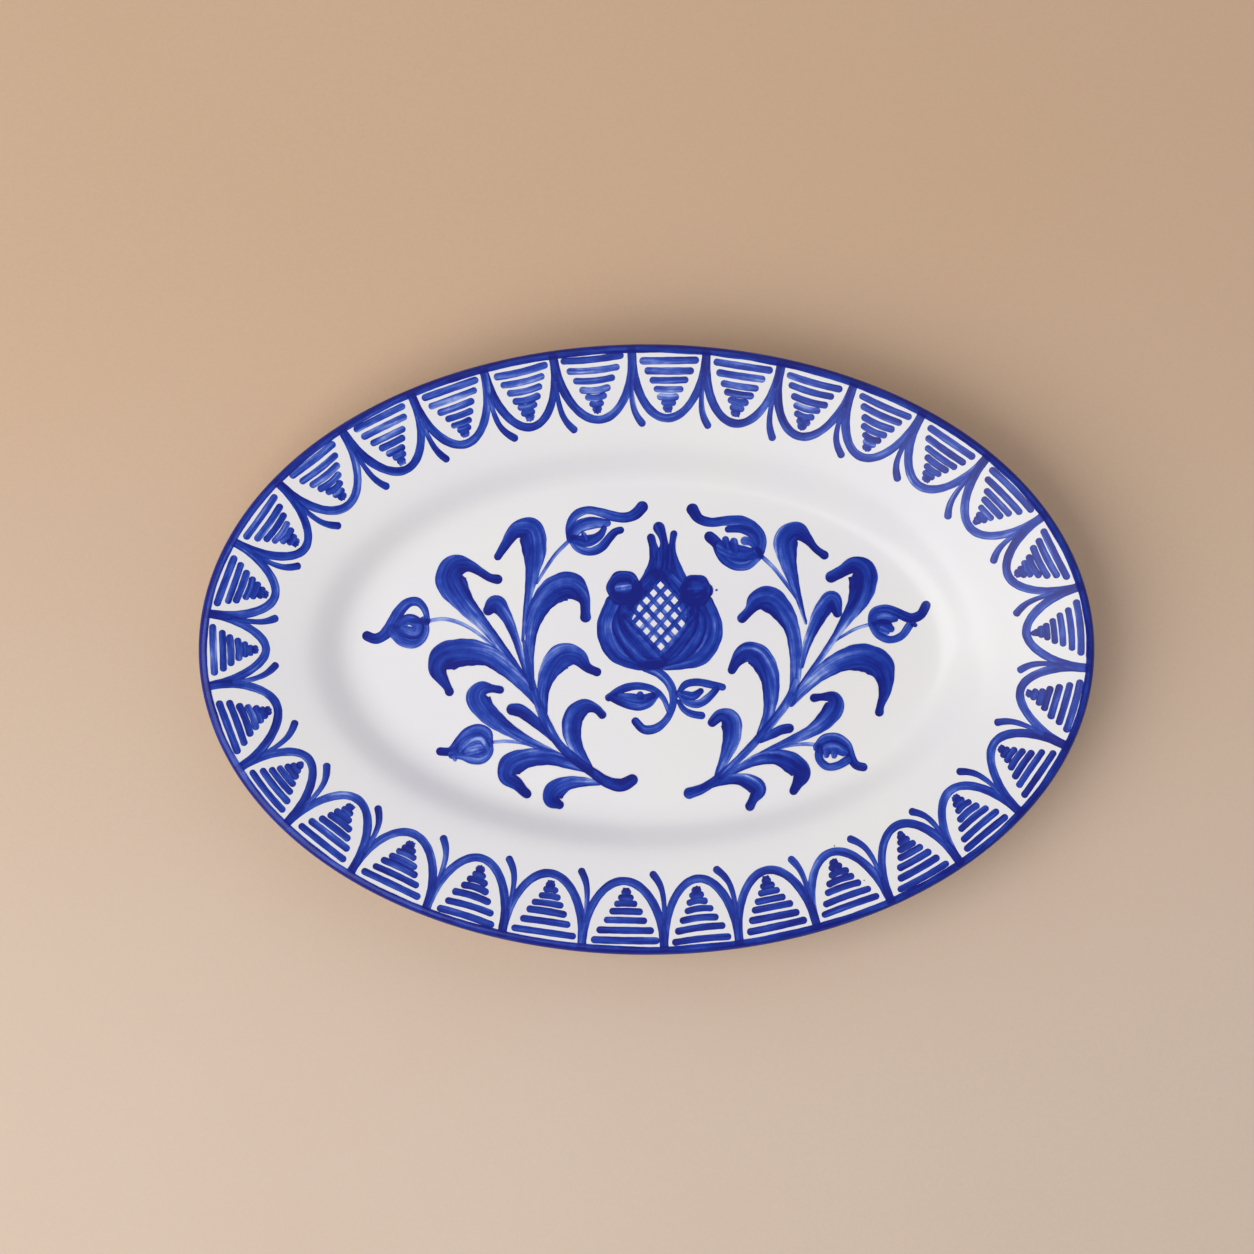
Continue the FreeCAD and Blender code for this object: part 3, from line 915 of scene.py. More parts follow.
def read_attribute(mesh, name):
    """Float attribute of a mesh as an array."""
    values = np.zeros(len(mesh.vertices), np.float32)
    mesh.attributes[name].data.foreach_get("value", values)
    return values


def paint_piece(name, strokes, bent):
    """Lay the strokes on the glaze as one piece of paint."""
    piece = mesh_from_nodes(name, draw_strokes(name, strokes), brushwork, {
        "Face": plate_parts["face_glaze"], "Lip": plate_parts["lip_band"], "Rim Line": rim_line,
        "Bend Round Rim": bent, "Bristles": BRISTLES, "Lift": LIFT, "Level Lift": LEVEL_LIFT,
        "Material": cobalt_strokes})
    mesh = piece.data
    places = np.zeros(len(mesh.vertices) * 3, np.float32)
    mesh.vertices.foreach_get("co", places)
    layers = np.clip(chart_at(places.reshape(-1, 3)[:, :2] / MM) - 1, 0, MOST_LAYERS)
    across = read_attribute(mesh, "across")
    paint = read_attribute(mesh, "load") + across * read_attribute(mesh, "inner")
    paint += EDGE_POOL * across ** 6 + CROSSING * layers
    mesh.attributes.new("paint", "FLOAT", "POINT").data.foreach_set("value", paint.astype(np.float32))
    facing = np.zeros(len(mesh.polygons) * 3, np.float32)
    mesh.polygons.foreach_get("normal", facing)
    for index in np.flatnonzero(facing.reshape(-1, 3)[:, 2] < 0):
        mesh.polygons[index].flip()
    for attribute in ATTRIBUTES + ("across",):
        mesh.attributes.remove(mesh.attributes[attribute])
    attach(piece, "root")
    return piece


# %% [markdown]
# ## The border
#
# Thirty arches run round the rim, each a half oval hanging from the band on the lip. The painter went
# round once for each kind of stroke: band, arches, a tail from every foot, and last the hatching that
# shrinks into each arch. The widths of the arches are the painter's own, none quite alike.

# %% Laying out the arches
ARCH_WIDTHS = [
    30.7, 30.4, 29.4, 29.4, 29.1, 29.4, 28.0, 30.7, 30.0, 29.6, 31.4, 30.2, 27.4, 33.3, 27.8,
    28.9, 27.9, 30.9, 29.1, 28.3, 26.3, 29.3, 27.8, 28.1, 28.0, 27.7, 29.1, 30.7, 30.0, 31.2]
FIRST_FOOT = 7.0                # how far along the rim line the first foot stands
feet = FIRST_FOOT + np.concatenate([[0.0], np.cumsum(ARCH_WIDTHS)]) * RIM_LENGTH / sum(ARCH_WIDTHS)
ARCH_DEPTH = 25.6               # centre line of the arch at its bottom, measured in from the rim
ARCH_FOOT = 2.6                 # where the feet meet the band


def end_nearness(x):
    """1 at the two tight ends of the rim and -1 in the middle of its sides."""
    return math.cos(2 * float(np.interp(x, rim_lengths, turns)))


print("arches:", len(ARCH_WIDTHS), "mean width in mm:", round(RIM_LENGTH / len(ARCH_WIDTHS), 1))

# %% [markdown]
# Each arch is pulled from its first foot to its second: the brush is full and wide at the start, and
# thinner and paler by the end. Round the tight ends of the plate the arches are a little shallower.

# %% Arches
ARCH_STATIONS = 13
ARCH_FULLNESS = 0.92            # below 1 the arch is a little fuller than a half oval
ARCH_STROKE = 3.3               # width of the stroke where it starts
ARCH_THINNING = 0.45            # and how much of it is lost on the way
END_SHALLOWING = 1.3            # how much shallower the arches get towards the tight ends
arches = []
depths = []
for index, (left, right) in enumerate(zip(feet[:-1], feet[1:])):
    middle, half = (left + right) / 2, (right - left) / 2
    depth = ARCH_DEPTH - END_SHALLOWING * end_nearness(middle) + hand.uniform(-0.5, 0.5)
    lean = hand.uniform(-0.9, 0.9)
    depths.append(depth)
    stations = []
    for angle in np.linspace(0, math.pi, ARCH_STATIONS):
        sag = math.sin(angle) ** ARCH_FULLNESS
        width = ARCH_STROKE - ARCH_THINNING * angle / math.pi + hand.uniform(-0.1, 0.1)
        stations.append((middle - half * math.cos(angle) + lean * sag,
                         ARCH_FOOT + (depth - ARCH_FOOT) * sag, width))
    load = (hand.uniform(0.68, 0.8), hand.uniform(0.46, 0.6), hand.uniform(0.42, 0.56))
    arches.append(brush_stroke(stations, load, level=index % 2))
print("deepest arch in mm:", round(max(depths), 1))

# %% [markdown]
# The tail starts thin between two arches, runs straight inwards and hooks over at the end, where the
# last of the paint leaves a round drop.

# %% Tails
TAIL_START = 12.0
TAIL_LOAD = (0.4, 0.5, 0.8)
TAIL_SHAPE = ((0, 0, 1.4), (0.42, 0, 1.9), (0.7, 0.2, 2.2), (0.88, 0.58, 2.6), (1, 1, 2.8))
TAIL_SHIFT = -0.3
tails = []
for foot, depth in zip(feet[:-1], depths):
    swing = hand.uniform(2.8, 5.8)
    reach = depth + hand.uniform(1.4, 3.2) - TAIL_START
    stations = [(foot + sideways * swing + TAIL_SHIFT, TAIL_START + share * reach, width)
                for share, sideways, width in TAIL_SHAPE]
    tails.append(brush_stroke(stations, TAIL_LOAD, level=2))
print("tails:", len(tails))

# %% [markdown]
# Hatching fills each arch with eight bars. They start wide below the band, get shorter steadily and
# crowd together as the arch narrows, so the last few run into one pointed drop. The paint is fullest
# round the near right of the plate and thinnest on the opposite side.

# %% Hatching
HATCH_BARS = 8
HATCH_CROWDING = 1.5            # above 1 the spaces get smaller towards the tip
HATCH_HALF_LENGTH = 9.9
HATCH_TAPER = 1.1               # above 1 the bars get shorter slowly at first
FULL_BRUSH_ARCH = 4             # the arch where the brush is fullest, counted from the right-hand end
hatching = []
rows = 1 - (1 - np.linspace(0.0, 1.0, HATCH_BARS)) ** HATCH_CROWDING
for index, (left, right) in enumerate(zip(feet[:-1], feet[1:])):
    middle = (left + right) / 2 + hand.uniform(-0.5, 0.5)
    share = (right - left) / (RIM_LENGTH / len(ARCH_WIDTHS)) * hand.uniform(0.94, 1.03)
    tilt = hand.uniform(-0.04, 0.04)
    bow = hand.uniform(-0.1, 0.6)
    wetness = 0.5 + 0.16 * math.cos(math.tau * (index - FULL_BRUSH_ARCH) / len(ARCH_WIDTHS))
    first = hand.uniform(4.5, 5.8)
    last = depths[index] - hand.uniform(2.6, 3.3)
    widest = (HATCH_HALF_LENGTH - 0.6 * end_nearness(middle)) * share
    for row, step in enumerate(rows):
        depth = first + step * (last - first) + hand.uniform(-0.15, 0.15)
        half = widest * (1 - step ** HATCH_TAPER) * hand.uniform(0.95, 1.04) + 0.15
        slope = tilt + hand.uniform(-0.015, 0.015)
        width = hand.uniform(2.45, 2.75) * (1 - 0.08 * step)
        centre = middle + hand.uniform(-0.3, 0.3)
        stations = [(centre + half * t, depth + slope * half * t + bow * (1 - t * t), width)
                    for t in (-1, -0.5, 0, 0.5, 1)]
        load = wetness + hand.uniform(-0.08, 0.08)
        hatching.append(brush_stroke(stations, (load + 0.15, load - 0.08, load + 0.2), level=row % 4))
print("bars of hatching:", len(hatching))

# %% [markdown]
# The band is three long pulls round the lip with the plate turning on a wheel, so its inner edge
# waves a little.

# %% The band on the lip
BAND_MIDDLE = 2.3
BAND_WIDTH = 2.2
BAND_PULLS = 3
BAND_LAP = 6                    # how far each pull runs over the start of the next
BAND_LOAD = (0.75, 0.75, 0.75)
BAND_SHIFT = 0.1
band = []
for pull in range(BAND_PULLS):
    start = pull * RIM_LENGTH / BAND_PULLS
    marks = np.arange(start, start + RIM_LENGTH / BAND_PULLS + BAND_LAP, 8.0)
    stations = [(x + BAND_SHIFT, BAND_MIDDLE + hand.uniform(-0.1, 0.1),
                 BAND_WIDTH + hand.uniform(-0.3, 0.3)) for x in marks]
    band.append(brush_stroke(stations, BAND_LOAD, level=5 + pull))
print("pulls of the band:", len(band))

# %% [markdown]
# ## The sprays
#
# Two sprays of leaves grow out from the bottom of the well, nearly mirrored but each drawn freshly.
# Every leaf is one stroke that starts thin at the stem, swells as the brush is pressed down round the
# bend, and flicks out to a small round end. The buds hang on hair-thin stems.

# %% The left spray
LEFT_STEM = [
    [(-5.4, -48.9, 4.5), (-9, -50.8, 4.9), (-14.3, -49.8, 4.4), (-20, -46.1, 3.6), (-26.5, -41.3, 3.6),
     (-32.9, -35.2, 3.2), (-37.4, -27.5, 3.6), (-40.4, -20.2, 3.1), (-42.7, -12.9, 2.6), (-44.1, -5.7, 2.1),
     (-45.9, 3.2, 1.1)],
]
LEFT_LEAVES = [
    [(-46.2, 3.2, 1.1), (-44.9, 14.6, 2.3), (-43.6, 22.7, 3.6), (-42.5, 29.1, 5.5), (-41.9, 37.2, 9.1),
     (-43.6, 44.3, 10.2), (-48.7, 44.3, 6.2), (-52.8, 38.8, 3.6), (-55.5, 34.6, 2.9)],
    [(-42.8, -12.1, 1.9), (-43.3, -1.6, 2.9), (-42.8, 7.3, 4.9), (-40.2, 15.4, 7.7), (-34.6, 21.9, 10.1),
     (-28.1, 23.5, 10.9), (-23.2, 18.6, 4.7), (-22.8, 14.6, 3.6), (-22.7, 12, 4.1)],
    [(-38.2, -29.9, 2.4), (-38.6, -21, 3.6), (-38.2, -13.7, 5), (-35.8, -7.3, 8.1), (-30.9, -2.4, 9.7),
     (-25.7, -2.8, 6.9), (-22, -6.9, 3.6), (-18.5, -8.5, 3.4)],
    [(-20.8, -44.5, 2.1), (-25.7, -37.6, 5), (-27.9, -30.7, 7), (-26.9, -24.7, 7.7), (-22.8, -21.4, 5.8),
     (-18.8, -22.2, 3.4), (-16.5, -24.5, 3.2)],
    [(-42.8, -14.6, 1.6), (-48.3, -6.9, 2.4), (-54, 0.7, 3.2), (-61.7, 10.1, 5), (-68.4, 17.8, 8.1),
     (-73.1, 26.3, 12), (-71, 30.9, 9.6), (-66.6, 31.3, 5), (-61.7, 28.7, 3.2), (-58.5, 26.7, 3.1),
     (-55.6, 26.1, 3.7)],
    [(-44.9, -9.7, 1.5), (-47.1, -1.6, 2.4), (-49.8, 6.5, 3.2), (-52.8, 13, 4.7), (-56.4, 17, 6.9),
     (-59, 14.6, 4.1)],
    [(-40.4, -21, 1.8), (-45.9, -13.7, 4.2), (-52.4, -7.3, 6.1), (-58.9, -2.6, 7.9), (-65.4, -1.2, 9.9),
     (-71, -1.6, 10.9), (-75.9, -3.6, 10.9), (-77.9, -7.7, 7.3), (-75.9, -11.7, 4.2), (-74.1, -14.6, 3.1),
     (-73.6, -15.9, 3.4)],
    [(-29.7, -40.9, 1.8), (-37.8, -37.2, 2.4), (-46.7, -32.8, 3.7), (-54, -28.3, 6), (-60.5, -22.6, 8.1),
     (-62.9, -17.8, 9.1), (-61.3, -14.7, 6.1), (-57.7, -14.7, 3.1), (-54.6, -15.2, 2.9)],
    [(-32.9, -35.6, 1.6), (-38.6, -29.9, 3.1), (-43.5, -25.5, 4.5), (-47.5, -22.8, 4.9),
     (-50.1, -22.5, 4.4)],
    [(-20.8, -45.7, 1.9), (-28.9, -42.5, 4.5), (-37, -40.4, 5.8), (-45.1, -40.9, 7.5), (-50.9, -43.8, 9.1),
     (-52, -47.7, 6.6), (-48.5, -50.2, 4.7), (-45.9, -53, 3.7), (-44.7, -54, 3.6)],
    [(-17.5, -50, 1.9), (-24, -49.6, 3.7), (-29.7, -50.2, 5.5), (-34.2, -53, 7.7), (-35.4, -56.2, 6.5),
     (-32.5, -58.1, 3.4)],
]
LEFT_STALKS = [
    [(-28.5, 40.9, 1.5), (-33.8, 35.6, 1.5), (-37.8, 29.9, 1.3), (-40.9, 24.7, 1)],
    [(-81.6, 10.5, 1.5), (-75.9, 11.3, 1.5), (-69.4, 9.7, 1.5), (-62.1, 5.3, 1.3), (-54, -2.4, 1.1),
     (-50.8, -6.5, 1)],
    [(-57.7, -34.8, 1.3), (-52.4, -34.4, 1.3), (-45.9, -35.2, 1.1), (-39.4, -37.2, 1), (-35.4, -38, 0.8)],
]
LEFT_BUDS = [
    [(-28.5, 41.5, 2.8), (-28.8, 46, 2.8), (-26.4, 50.2, 3.3), (-22, 52, 3), (-16.5, 51, 3.4),
     (-12, 49.6, 3.8), (-7.5, 49.2, 3.9), (-4, 50.5, 4.2), (-1.5, 53.2, 4.4)],
    [(-28, 41, 2.6), (-25.6, 37.9, 3.2), (-21.2, 36.4, 3), (-17, 37.9, 3.6), (-13.8, 41.6, 3.2),
     (-11.5, 44, 2.9), (-9.6, 44.5, 2.7)],
    [(-81.8, 11, 2), (-82.8, 15, 2.6), (-85.5, 17.8, 3.4), (-89, 17.4, 3.6), (-92.8, 13.4, 4.4),
     (-95.3, 8.5, 4.8), (-98.4, 5, 4.2), (-101.4, 3.8, 4), (-104.4, 5, 3.6)],
    [(-58.5, -34.5, 2.6), (-59.5, -31.2, 4), (-63, -30.1, 4.4), (-67, -31.8, 4.8), (-70, -35.4, 4.6),
     (-73, -38.2, 3.4), (-77, -38.2, 3.2)],
]
LEFT_BUD_FILLS = [
    [(-27.6, 43.3, 4.4), (-25, 45.9, 5), (-20.5, 47.2, 4.6), (-16.6, 47.2, 3.6), (-14.6, 47.1, 2.8)],
    [(-27.2, 41.3, 3), (-24.5, 40.5, 4), (-21.6, 40.5, 4.4), (-18.6, 41.6, 3.6), (-16.6, 43.4, 2.8),
     (-15.8, 45.2, 2.2)],
    [(-23.4, 42.8, 2), (-22.8, 41.4, 2.4)],
    [(-83.2, 10.6, 3.4), (-82.9, 6.4, 3.6), (-86, 2.8, 4.6), (-90.4, 3.1, 4.8), (-94, 6.4, 5)],
    [(-91.8, 9.6, 4.4), (-88.6, 11.3, 4), (-85.2, 9.2, 4.6), (-86, 6, 4.8), (-90, 6.6, 4.2)],
    [(-87.4, 10.6, 1.8), (-84.5, 10.6, 2.2), (-82, 10.2, 2.4)],
    [(-58.5, -35, 2.4), (-59, -38.4, 3.8), (-61.5, -40.8, 4.2), (-65, -40.8, 4.4), (-69, -39.3, 4),
     (-72.5, -39.4, 3.2)],
    [(-60.6, -36.4, 4.6), (-62.2, -34, 5), (-66, -35, 5.2), (-68.2, -37, 4.4)],
    [(-63, -37.6, 4.6), (-66.5, -38.4, 3)],
    [(-71.8, -40.2, 1.8), (-71.5, -41.3, 1.4)],
]

# %% [markdown]
# The right spray answers the left one leaf for leaf, but no leaf is a copy. Its stem starts a little
# lower, and its buds are filled in differently: dark bodies with a bumpy edge and small gaps of white.

# %% The right spray
RIGHT_STEM = [
    [(16.1, -53.8, 4.4), (20.8, -52.2, 3.6), (26.5, -48.4, 3.2), (33, -42.5, 2.8), (37.9, -37.6, 2.9),
     (42.7, -32.4, 3.2), (48.4, -25.5, 3.1), (53.3, -18.6, 3.2), (55.8, -12.1, 2.4)],
]
RIGHT_LEAVES = [
    [(59.6, 9.7, 1.1), (57.3, 17.8, 2.3), (54.9, 25.9, 4.2), (52.9, 33.2, 6.8), (52.4, 41.3, 9.4),
     (56.5, 44, 7.5), (60.1, 41.3, 4.1), (63.4, 37.4, 2.8), (66.6, 35.1, 3.2)],
    [(54.5, -18.6, 3.2), (55.8, -9.7, 4.1), (55.8, -0.8, 4.9), (54.5, 7.3, 5.8), (51.2, 13.8, 8.1),
     (46, 18.6, 10.1), (41.1, 17.8, 7.7), (38.7, 14.6, 3.9), (35.8, 11.6, 3.7)],
    [(42.3, -33.2, 3.2), (45.6, -24.3, 4.2), (46.6, -16.2, 6.1), (45.7, -8.9, 7.7), (41.5, -2.3, 9.1),
     (37, -1.4, 7.5), (33.8, -4.4, 4.7), (32, -7.8, 3.2)],
    [(26.5, -46.9, 2.1), (29.8, -39.6, 4.5), (32, -32.4, 7), (31.2, -26.3, 7.7), (27.7, -24.7, 5),
     (24.7, -27.3, 3.6)],
    [(55.3, -16.6, 1.3), (61.8, -7.7, 1.8), (66.6, -1.2, 2.3), (70.9, 5.3, 2.8), (74.8, 11.3, 4.5),
     (79, 17.8, 7.5), (80.8, 23.5, 10.4), (80.6, 29.1, 10.5), (77.6, 31.4, 6.8), (73.1, 29.1, 4.5),
     (69.1, 27, 4.4)],
    [(58.1, -6.5, 1.5), (59.7, 0.8, 2.9), (62.6, 8.1, 4.4), (65.8, 14.6, 6.3), (69.5, 18.6, 6.8),
     (71.4, 13.6, 3.6)],
    [(54.1, -20.2, 2.8), (60.5, -13.3, 4.2), (67, -7.7, 6.3), (74.3, -3.9, 8.5), (81.5, -3.2, 10.7),
     (87.3, -6.1, 10.5), (89.3, -11.3, 6.9), (88.9, -17, 4.1), (87.5, -21, 2.9), (87.1, -23.5, 3.4)],
    [(40.3, -40.4, 1.5), (46.8, -37.2, 2.1), (54.1, -34, 3.2), (61.4, -30.7, 4.7), (67, -26.3, 6.8),
     (70.3, -21.4, 7.7), (69.9, -18, 4.9), (66.2, -17.8, 2.9), (62.7, -18.2, 3.2)],
    [(42.7, -34.4, 1.6), (46.8, -32, 3.1), (50.4, -30.1, 3.7), (53.3, -29.6, 3.7)],
    [(28.1, -47.9, 1.9), (35.4, -44.1, 2.9), (41.9, -41.1, 4.5), (49.2, -40.4, 6), (54.9, -42.9, 8.1),
     (58.1, -46.5, 7.1), (56.5, -50.2, 4.1), (55, -52.9, 3.2)],
    [(21.6, -51.6, 2.1), (28.1, -49.4, 3.2), (34.2, -48.5, 4.2), (39.5, -50.2, 6.5), (41.9, -52.6, 6.2),
     (40.1, -55.8, 3.6), (38.7, -58.6, 3.6)],
]
RIGHT_STALKS = [
    [(42.7, 35.2, 1.6), (47.6, 30.4, 1.6), (52.4, 24.3, 1.5), (57.3, 17, 1.1), (59.7, 10.5, 1)],
    [(83.6, 9.3, 1.3), (78.4, 7.7, 1.3), (72.7, 4.5, 1.1), (69.5, 2.4, 1)],
    [(65.4, -36, 1.6), (59.7, -35.4, 1.5), (54.1, -36, 1.1), (49.2, -37.2, 1)],
]
RIGHT_BUDS = [
    [(42.8, 36.6, 3.2), (43.2, 41, 3.6), (40.8, 44.9, 4.2), (36, 47.4, 4.8), (30, 48, 3.8), (24, 47.4, 3.5),
     (19.5, 48.9, 3.9), (17.3, 52.2, 4.6)],
    [(41.6, 34.8, 3.6), (37.5, 31.9, 4.8), (33, 32.1, 5), (29, 35.2, 5.6), (26.4, 39.6, 4.2),
     (23.7, 42, 4.2)],
    [(99.4, 10.4, 3), (98, 8.4, 3), (95.5, 5, 3), (91, 3.5, 2.8), (86.5, 5.6, 3), (84.3, 10, 3),
     (85.2, 13.8, 3.4), (89.6, 15.1, 3.4), (94.4, 13.3, 3.6), (98.8, 11.6, 3.8), (102.5, 12.8, 3.6),
     (104.5, 16.4, 3.5)],
    [(63.8, -36.8, 3), (66.4, -33.6, 3.6), (71, -33.2, 4), (75, -36, 3.6), (76.5, -40.4, 3.6),
     (78.4, -43.4, 3.2), (81, -44, 3.2)],
]
RIGHT_BUD_FILLS = [
    [(30.6, 44.8, 2.6), (35.5, 44.9, 3), (39.4, 43.2, 3.4), (41.2, 40, 2.4)],
    [(28.6, 38.2, 5), (32.6, 36.4, 6.2), (37.6, 35.6, 5.4), (41.4, 36, 3.6)],
    [(29.6, 41, 2.6), (30, 38.8, 3)],
    [(32.7, 40.2, 3), (33.2, 37.6, 3)],
    [(36.8, 40.5, 3.2), (39.2, 40.1, 3), (41, 38, 2.2)],
    [(41.4, 36.8, 2.8), (42.6, 35, 2.4)],
    [(86, 11.4, 4.2), (89.5, 11.6, 4.6), (93, 11.3, 2.4)],
    [(87.4, 9.2, 4), (90, 8.6, 4.8), (91.4, 7.6, 2.8)],
    [(88.2, 7.2, 3), (89.8, 6.5, 2.4)],
    [(99.8, 9.4, 2), (100.5, 9, 1.6)],
    [(67, -37.2, 4.6), (70.5, -36.5, 5), (73.6, -38.2, 3.8)],
    [(64.6, -37.5, 3), (64.6, -41, 3), (67.5, -43.9, 3), (71.5, -43.5, 3), (75, -41.5, 3.2)],
    [(67.3, -39.6, 2.2), (67.6, -38.4, 2.4)],
    [(70.2, -39.8, 2.2), (70.4, -38.6, 2.4)],
]

# %% [markdown]
# ## The pomegranate
#
# The fruit is built from strokes too: three down each side and a short one at the foot, three up the
# crown with two that tie it to the seeds, and a bumpy dab on each shoulder. The seeds are a lattice of
# fine lines. Below the fruit hang its stem and two leaves.

# %% The pomegranate
FRUIT_SIDES = [
    [(-12.2, 17.1, 6.7), (-14.8, 9.8, 7), (-14.2, 4.5, 8), (-10.6, -1.2, 8), (-4.2, -4.7, 6),
     (2.5, -5.7, 4.4)],
    [(-6.2, 16.5, 6), (-9.2, 9.8, 7.3), (-6.2, 3.1, 8), (-1.6, -2.2, 7.3), (3.8, -4.9, 4)],
    [(21.8, 17.1, 6.7), (24.8, 9.8, 7), (24.1, 3.8, 8), (19.8, -2.2, 8), (13.1, -5, 5.3), (7.1, -5.9, 4)],
    [(15.1, 16.5, 6), (18.8, 9.8, 7.3), (16.5, 3.1, 8), (11.1, -2.2, 6.7), (5.8, -4.5, 4)],
    [(-5.2, 19.6, 4.4), (-8.5, 14.4, 4.8), (-8, 10, 4.8), (-5.7, 6.3, 5.2), (-1, 1.2, 5.2),
     (2.6, -2.4, 4.4), (5.5, -4.2, 3.6)],
    [(17.6, 16, 4.4), (17.4, 11.5, 4.6), (16, 7.2, 5), (13.6, 3.7, 5.2), (10.4, 0, 5.2), (7.4, -3, 4.4)],
    [(1.2, -5.6, 3.4), (5.2, -5.4, 3.6)],
]
FRUIT_CROWN = [
    [(1.75, 41.7, 3.1), (2.4, 39.2, 3), (3.2, 36, 4.2), (3.5, 32, 5.4), (1.9, 28, 5.4), (-2, 22.3, 4.8),
     (-6.2, 17.4, 4.4)],
    [(10.3, 43.1, 2.7), (9.9, 41, 2.4), (9.6, 38.4, 2.5), (9.3, 34, 5), (11.2, 28.5, 5.6),
     (14.2, 22.9, 5.2), (17, 17.6, 4.6)],
    [(4.7, 45.4, 4.5), (6, 42.4, 3.2), (6.7, 39.4, 3), (6.8, 36, 6.2), (6.6, 31, 7.6), (5.8, 28.2, 5.4)],
    [(3.4, 28.2, 3.8), (0.5, 24.9, 4.4), (-3, 21.2, 4.4)],
    [(7.6, 28, 3.8), (10.3, 24.9, 4.4), (13.6, 21.3, 4.4)],
]
FRUIT_STEM = [
    [(0, -6.4, 4.4), (4.8, -8.9, 3.8), (8.6, -12.8, 3.4), (10.2, -17.5, 3.2), (9.5, -22.5, 2.6),
     (7.3, -26.6, 2.8), (3.4, -29.7, 3.4), (-1, -30, 3.4), (-4, -27, 3.2)],
    [(12, -19.5, 1.6), (14, -22.5, 2.4), (17, -24.2, 2.8), (20.7, -24.8, 2.8)],
]
FRUIT_LEAVES = [
    [(8.3, -23, 1.8), (6.5, -18.5, 2.1), (3, -15.2, 2.5), (-3, -13.7, 2.9), (-9, -14.9, 3.1),
     (-14, -18.1, 2.9)],
    [(4, -17, 2.2), (1, -20.2, 3.1), (-3, -21.5, 3.1), (-8, -20.4, 3.1), (-12.6, -18.4, 2.6)],
    [(-9.6, -17.4, 2.2), (-5, -18.2, 3.4), (-1, -18.6, 3.6), (2.3, -17.4, 2.6)],
    [(-2.3, -17, 2.6), (-2.1, -17.6, 2.4)],
    [(12, -16.5, 1.8), (14.5, -13.2, 2.8), (19, -12.3, 2.8), (24, -13.2, 3), (28.5, -14.2, 2.6)],
    [(12.3, -17, 2), (15.5, -19.9, 2.8), (19.5, -20.5, 3), (23, -18.3, 3), (26, -15.2, 2.6)],
    [(14.5, -17, 3), (17.5, -17.6, 3.4), (20.3, -15.7, 2.4)],
]

# %% [markdown]
# The seeds are crossed thin lines that fill a diamond. Its four corners are given, and the lines run
# between evenly spaced points of its sides, each a little uneven.

# %% The lattice of seeds
LATTICE_TOP = (5.4, 26.7)
LATTICE_BOTTOM = (5.5, -1.8)
LATTICE_LEFT = (-7.9, 12.4)
LATTICE_RIGHT = (18.3, 12.5)
LATTICE_CELLS = 5
LATTICE_LINE = 1.75
LATTICE_LOAD = (0.45, 0.4, 0.45)


def between(start, end, share):
    """Point part of the way from one to another."""
    return (start[0] + (end[0] - start[0]) * share, start[1] + (end[1] - start[1]) * share)


lattice = []
for index in range(LATTICE_CELLS + 1):
    share = index / LATTICE_CELLS
    one_way = (between(LATTICE_TOP, LATTICE_LEFT, share), between(LATTICE_RIGHT, LATTICE_BOTTOM, share))
    other_way = (between(LATTICE_TOP, LATTICE_RIGHT, share), between(LATTICE_LEFT, LATTICE_BOTTOM, share))
    for start, end in (one_way, other_way):
        stations = [(*between(start, end, t), LATTICE_LINE + hand.uniform(-0.1, 0.15))
                    for t in (0, 0.35, 0.7, 1)]
        lattice.append(brush_stroke(stations, LATTICE_LOAD, level=len(lattice)))
print("lattice lines:", len(lattice))

# %% [markdown]
# Each shoulder of the fruit is one stroke that goes once round on itself, pressed and eased, so that
# its outline is bumpy, with a thinner dab inside that leaves the middle a little paler.

# %% The shoulders of the fruit
SHOULDER_STEPS = 12
SHOULDER_PRESS = 0.9            # how much wider and narrower the brush goes on the way round
FRUIT_SHOULDERS = []
SHOULDER_MIDDLES = []
for x, y, ring, width in ((-8.4, 22.9, 4.0, 5.2), (18.5, 21.9, 3.6, 5.0)):
    turns_round = [math.tau * step / SHOULDER_STEPS for step in range(SHOULDER_STEPS + 1)]
    FRUIT_SHOULDERS.append([
        (x + ring * math.cos(turn), y + ring * math.sin(turn), width + SHOULDER_PRESS * (-1) ** step)
        for step, turn in enumerate(turns_round)])
    SHOULDER_MIDDLES.append([(x - 1.2, y, width - 0.8), (x + 0.8, y + 0.2, width - 0.8)])

# %% [markdown]
# How much paint the brush holds tells the parts of the picture apart. Leaves start pale and end dark
# where the paint runs together, stalks are thin and nearly dry, and the crown and the shoulders of the
# fruit are full. Each motif is laid in painting order, so every stroke lies over the one before.

# %% Loading the brush for each part
def motif(groups):
    """Brush strokes for (station lists, load, inner shade) groups, each laid over the one before."""
    strokes = []
    for stations_list, load, inner in groups:
        for stations in stations_list:
            strokes.append(brush_stroke(stations, load, inner, level=len(strokes)))
    return strokes


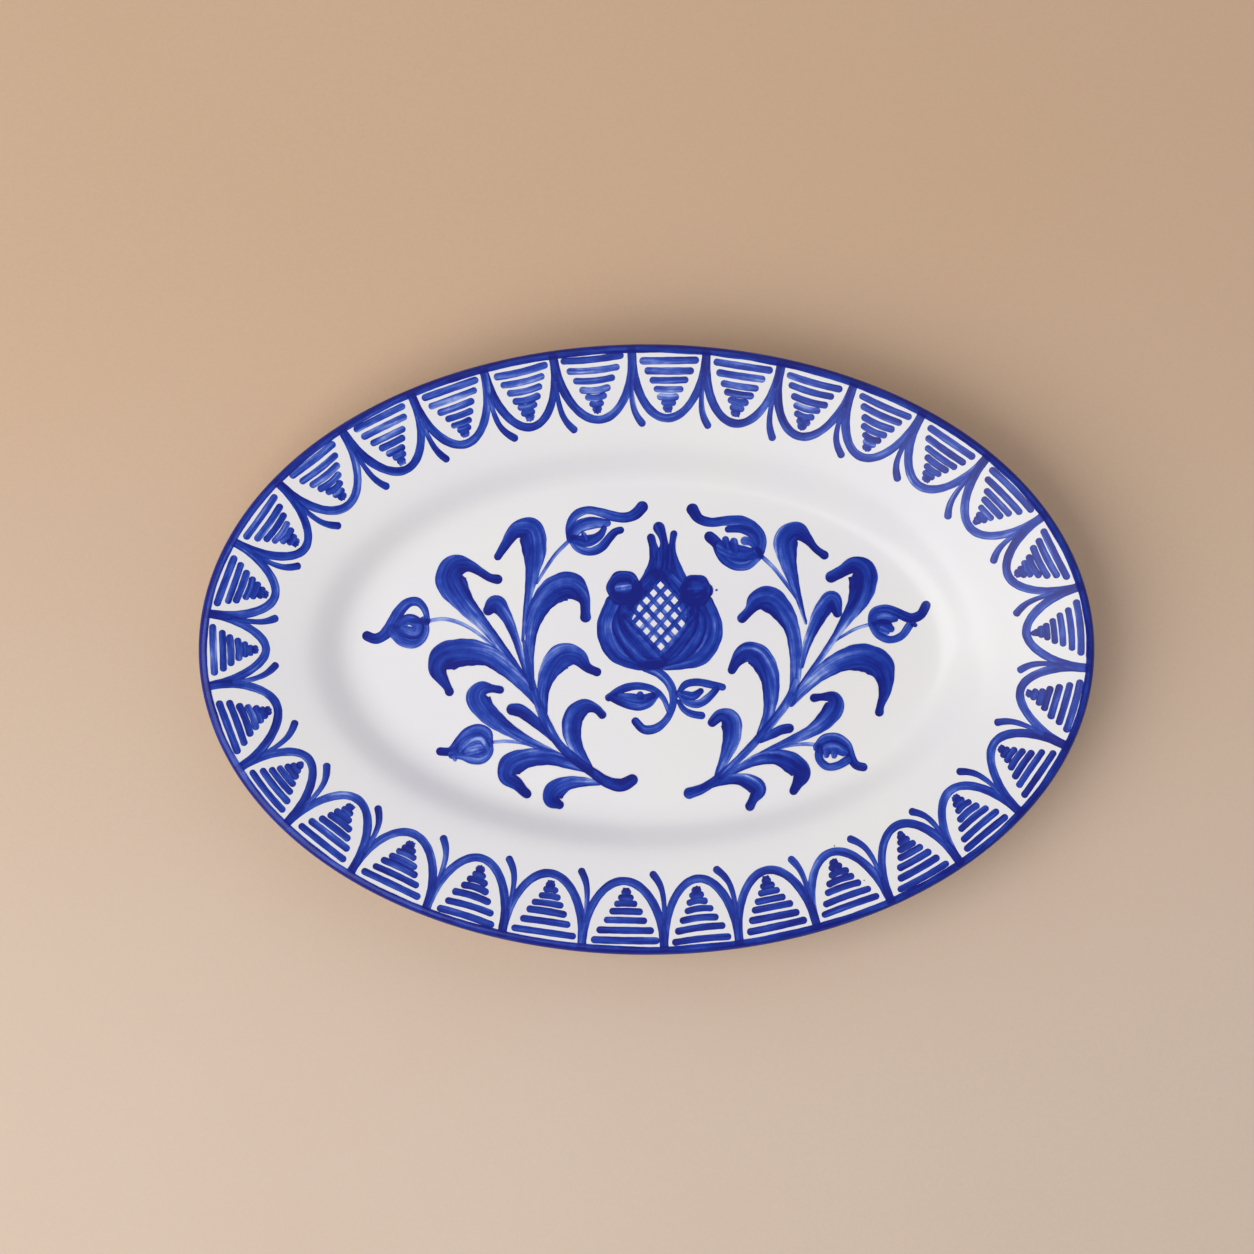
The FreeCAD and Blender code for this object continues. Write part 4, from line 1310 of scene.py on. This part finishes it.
LEAF_LOAD = (0.34, 0.5, 1.0)
STALK_LOAD = (0.14, 0.12, 0.3)
STEM_LOAD = (0.85, 0.45, 0.3)
BUD_LOAD = (0.4, 0.4, 1.0)
FILL_LOAD = (0.5, 0.48, 0.55)
PALE_LOAD = (0.26, 0.24, 0.3)   # the lowest bud on the left was painted with a nearly empty brush
PALE_FROM = 6                   # and these are its strokes, counted from the first
LEAF_SHADE = 0.26               # how much fuller the brush is on the inner side of a leaf
STRAY_DROP = [[(26.1, 22.1, 0.7), (26.3, 22.1, 0.7)]]
left_spray = motif([
    (LEFT_STALKS, STALK_LOAD, 0), (LEFT_LEAVES, LEAF_LOAD, LEAF_SHADE), (LEFT_STEM, STEM_LOAD, 0)])
right_spray = motif([
    (RIGHT_STALKS, STALK_LOAD, 0), (RIGHT_LEAVES, LEAF_LOAD, LEAF_SHADE), (RIGHT_STEM, STEM_LOAD, 0)])
left_buds = motif([(LEFT_BUDS, BUD_LOAD, 0), (LEFT_BUD_FILLS[:PALE_FROM], FILL_LOAD, 0),
                   (LEFT_BUD_FILLS[PALE_FROM:], PALE_LOAD, 0)])
right_buds = motif([
    (RIGHT_BUDS, BUD_LOAD, 0), (RIGHT_BUD_FILLS, FILL_LOAD, 0), (STRAY_DROP, (0.9, 0.9, 0.9), 0)])
fruit = motif([(FRUIT_SIDES, (0.7, 0.45, 0.6), -0.15), (FRUIT_CROWN, (0.9, 0.6, 0.55), 0),
               (FRUIT_SHOULDERS, (0.85, 0.85, 0.85), 0), (SHOULDER_MIDDLES[:1], (0.4, 0.35, 0.4), 0),
               (SHOULDER_MIDDLES[1:], (0.7, 0.65, 0.7), 0)])
fruit_stem = motif([(FRUIT_STEM, (0.6, 0.4, 0.8), 0), (FRUIT_LEAVES, (0.42, 0.4, 0.8), 0)])
print("strokes in the sprays:", len(left_spray), len(right_spray))

# %% [markdown]
# ## Painting the plate
#
# All the strokes are stamped on the chart first, because a stroke can only know about its crossings
# once every other stroke is there. Then each group becomes one piece of paint.

# %% Painting the plate
PIECES = {
    "lip_band_paint": (band, True),
    "border_arches": (arches, True),
    "border_tails": (tails, True),
    "border_hatching": (hatching, True),
    "left_leaf_spray": (left_spray, False),
    "left_buds": (left_buds, False),
    "right_leaf_spray": (right_spray, False),
    "right_buds": (right_buds, False),
    "pomegranate_fruit": (fruit, False),
    "pomegranate_lattice": (lattice, False),
    "pomegranate_stem": (fruit_stem, False),
}
for strokes, bent in PIECES.values():
    for stroke in strokes:
        stamp(stroke, bent)
for name, (strokes, bent) in PIECES.items():
    paint_piece(name, strokes, bent)
bpy.data.objects.remove(rim_line)
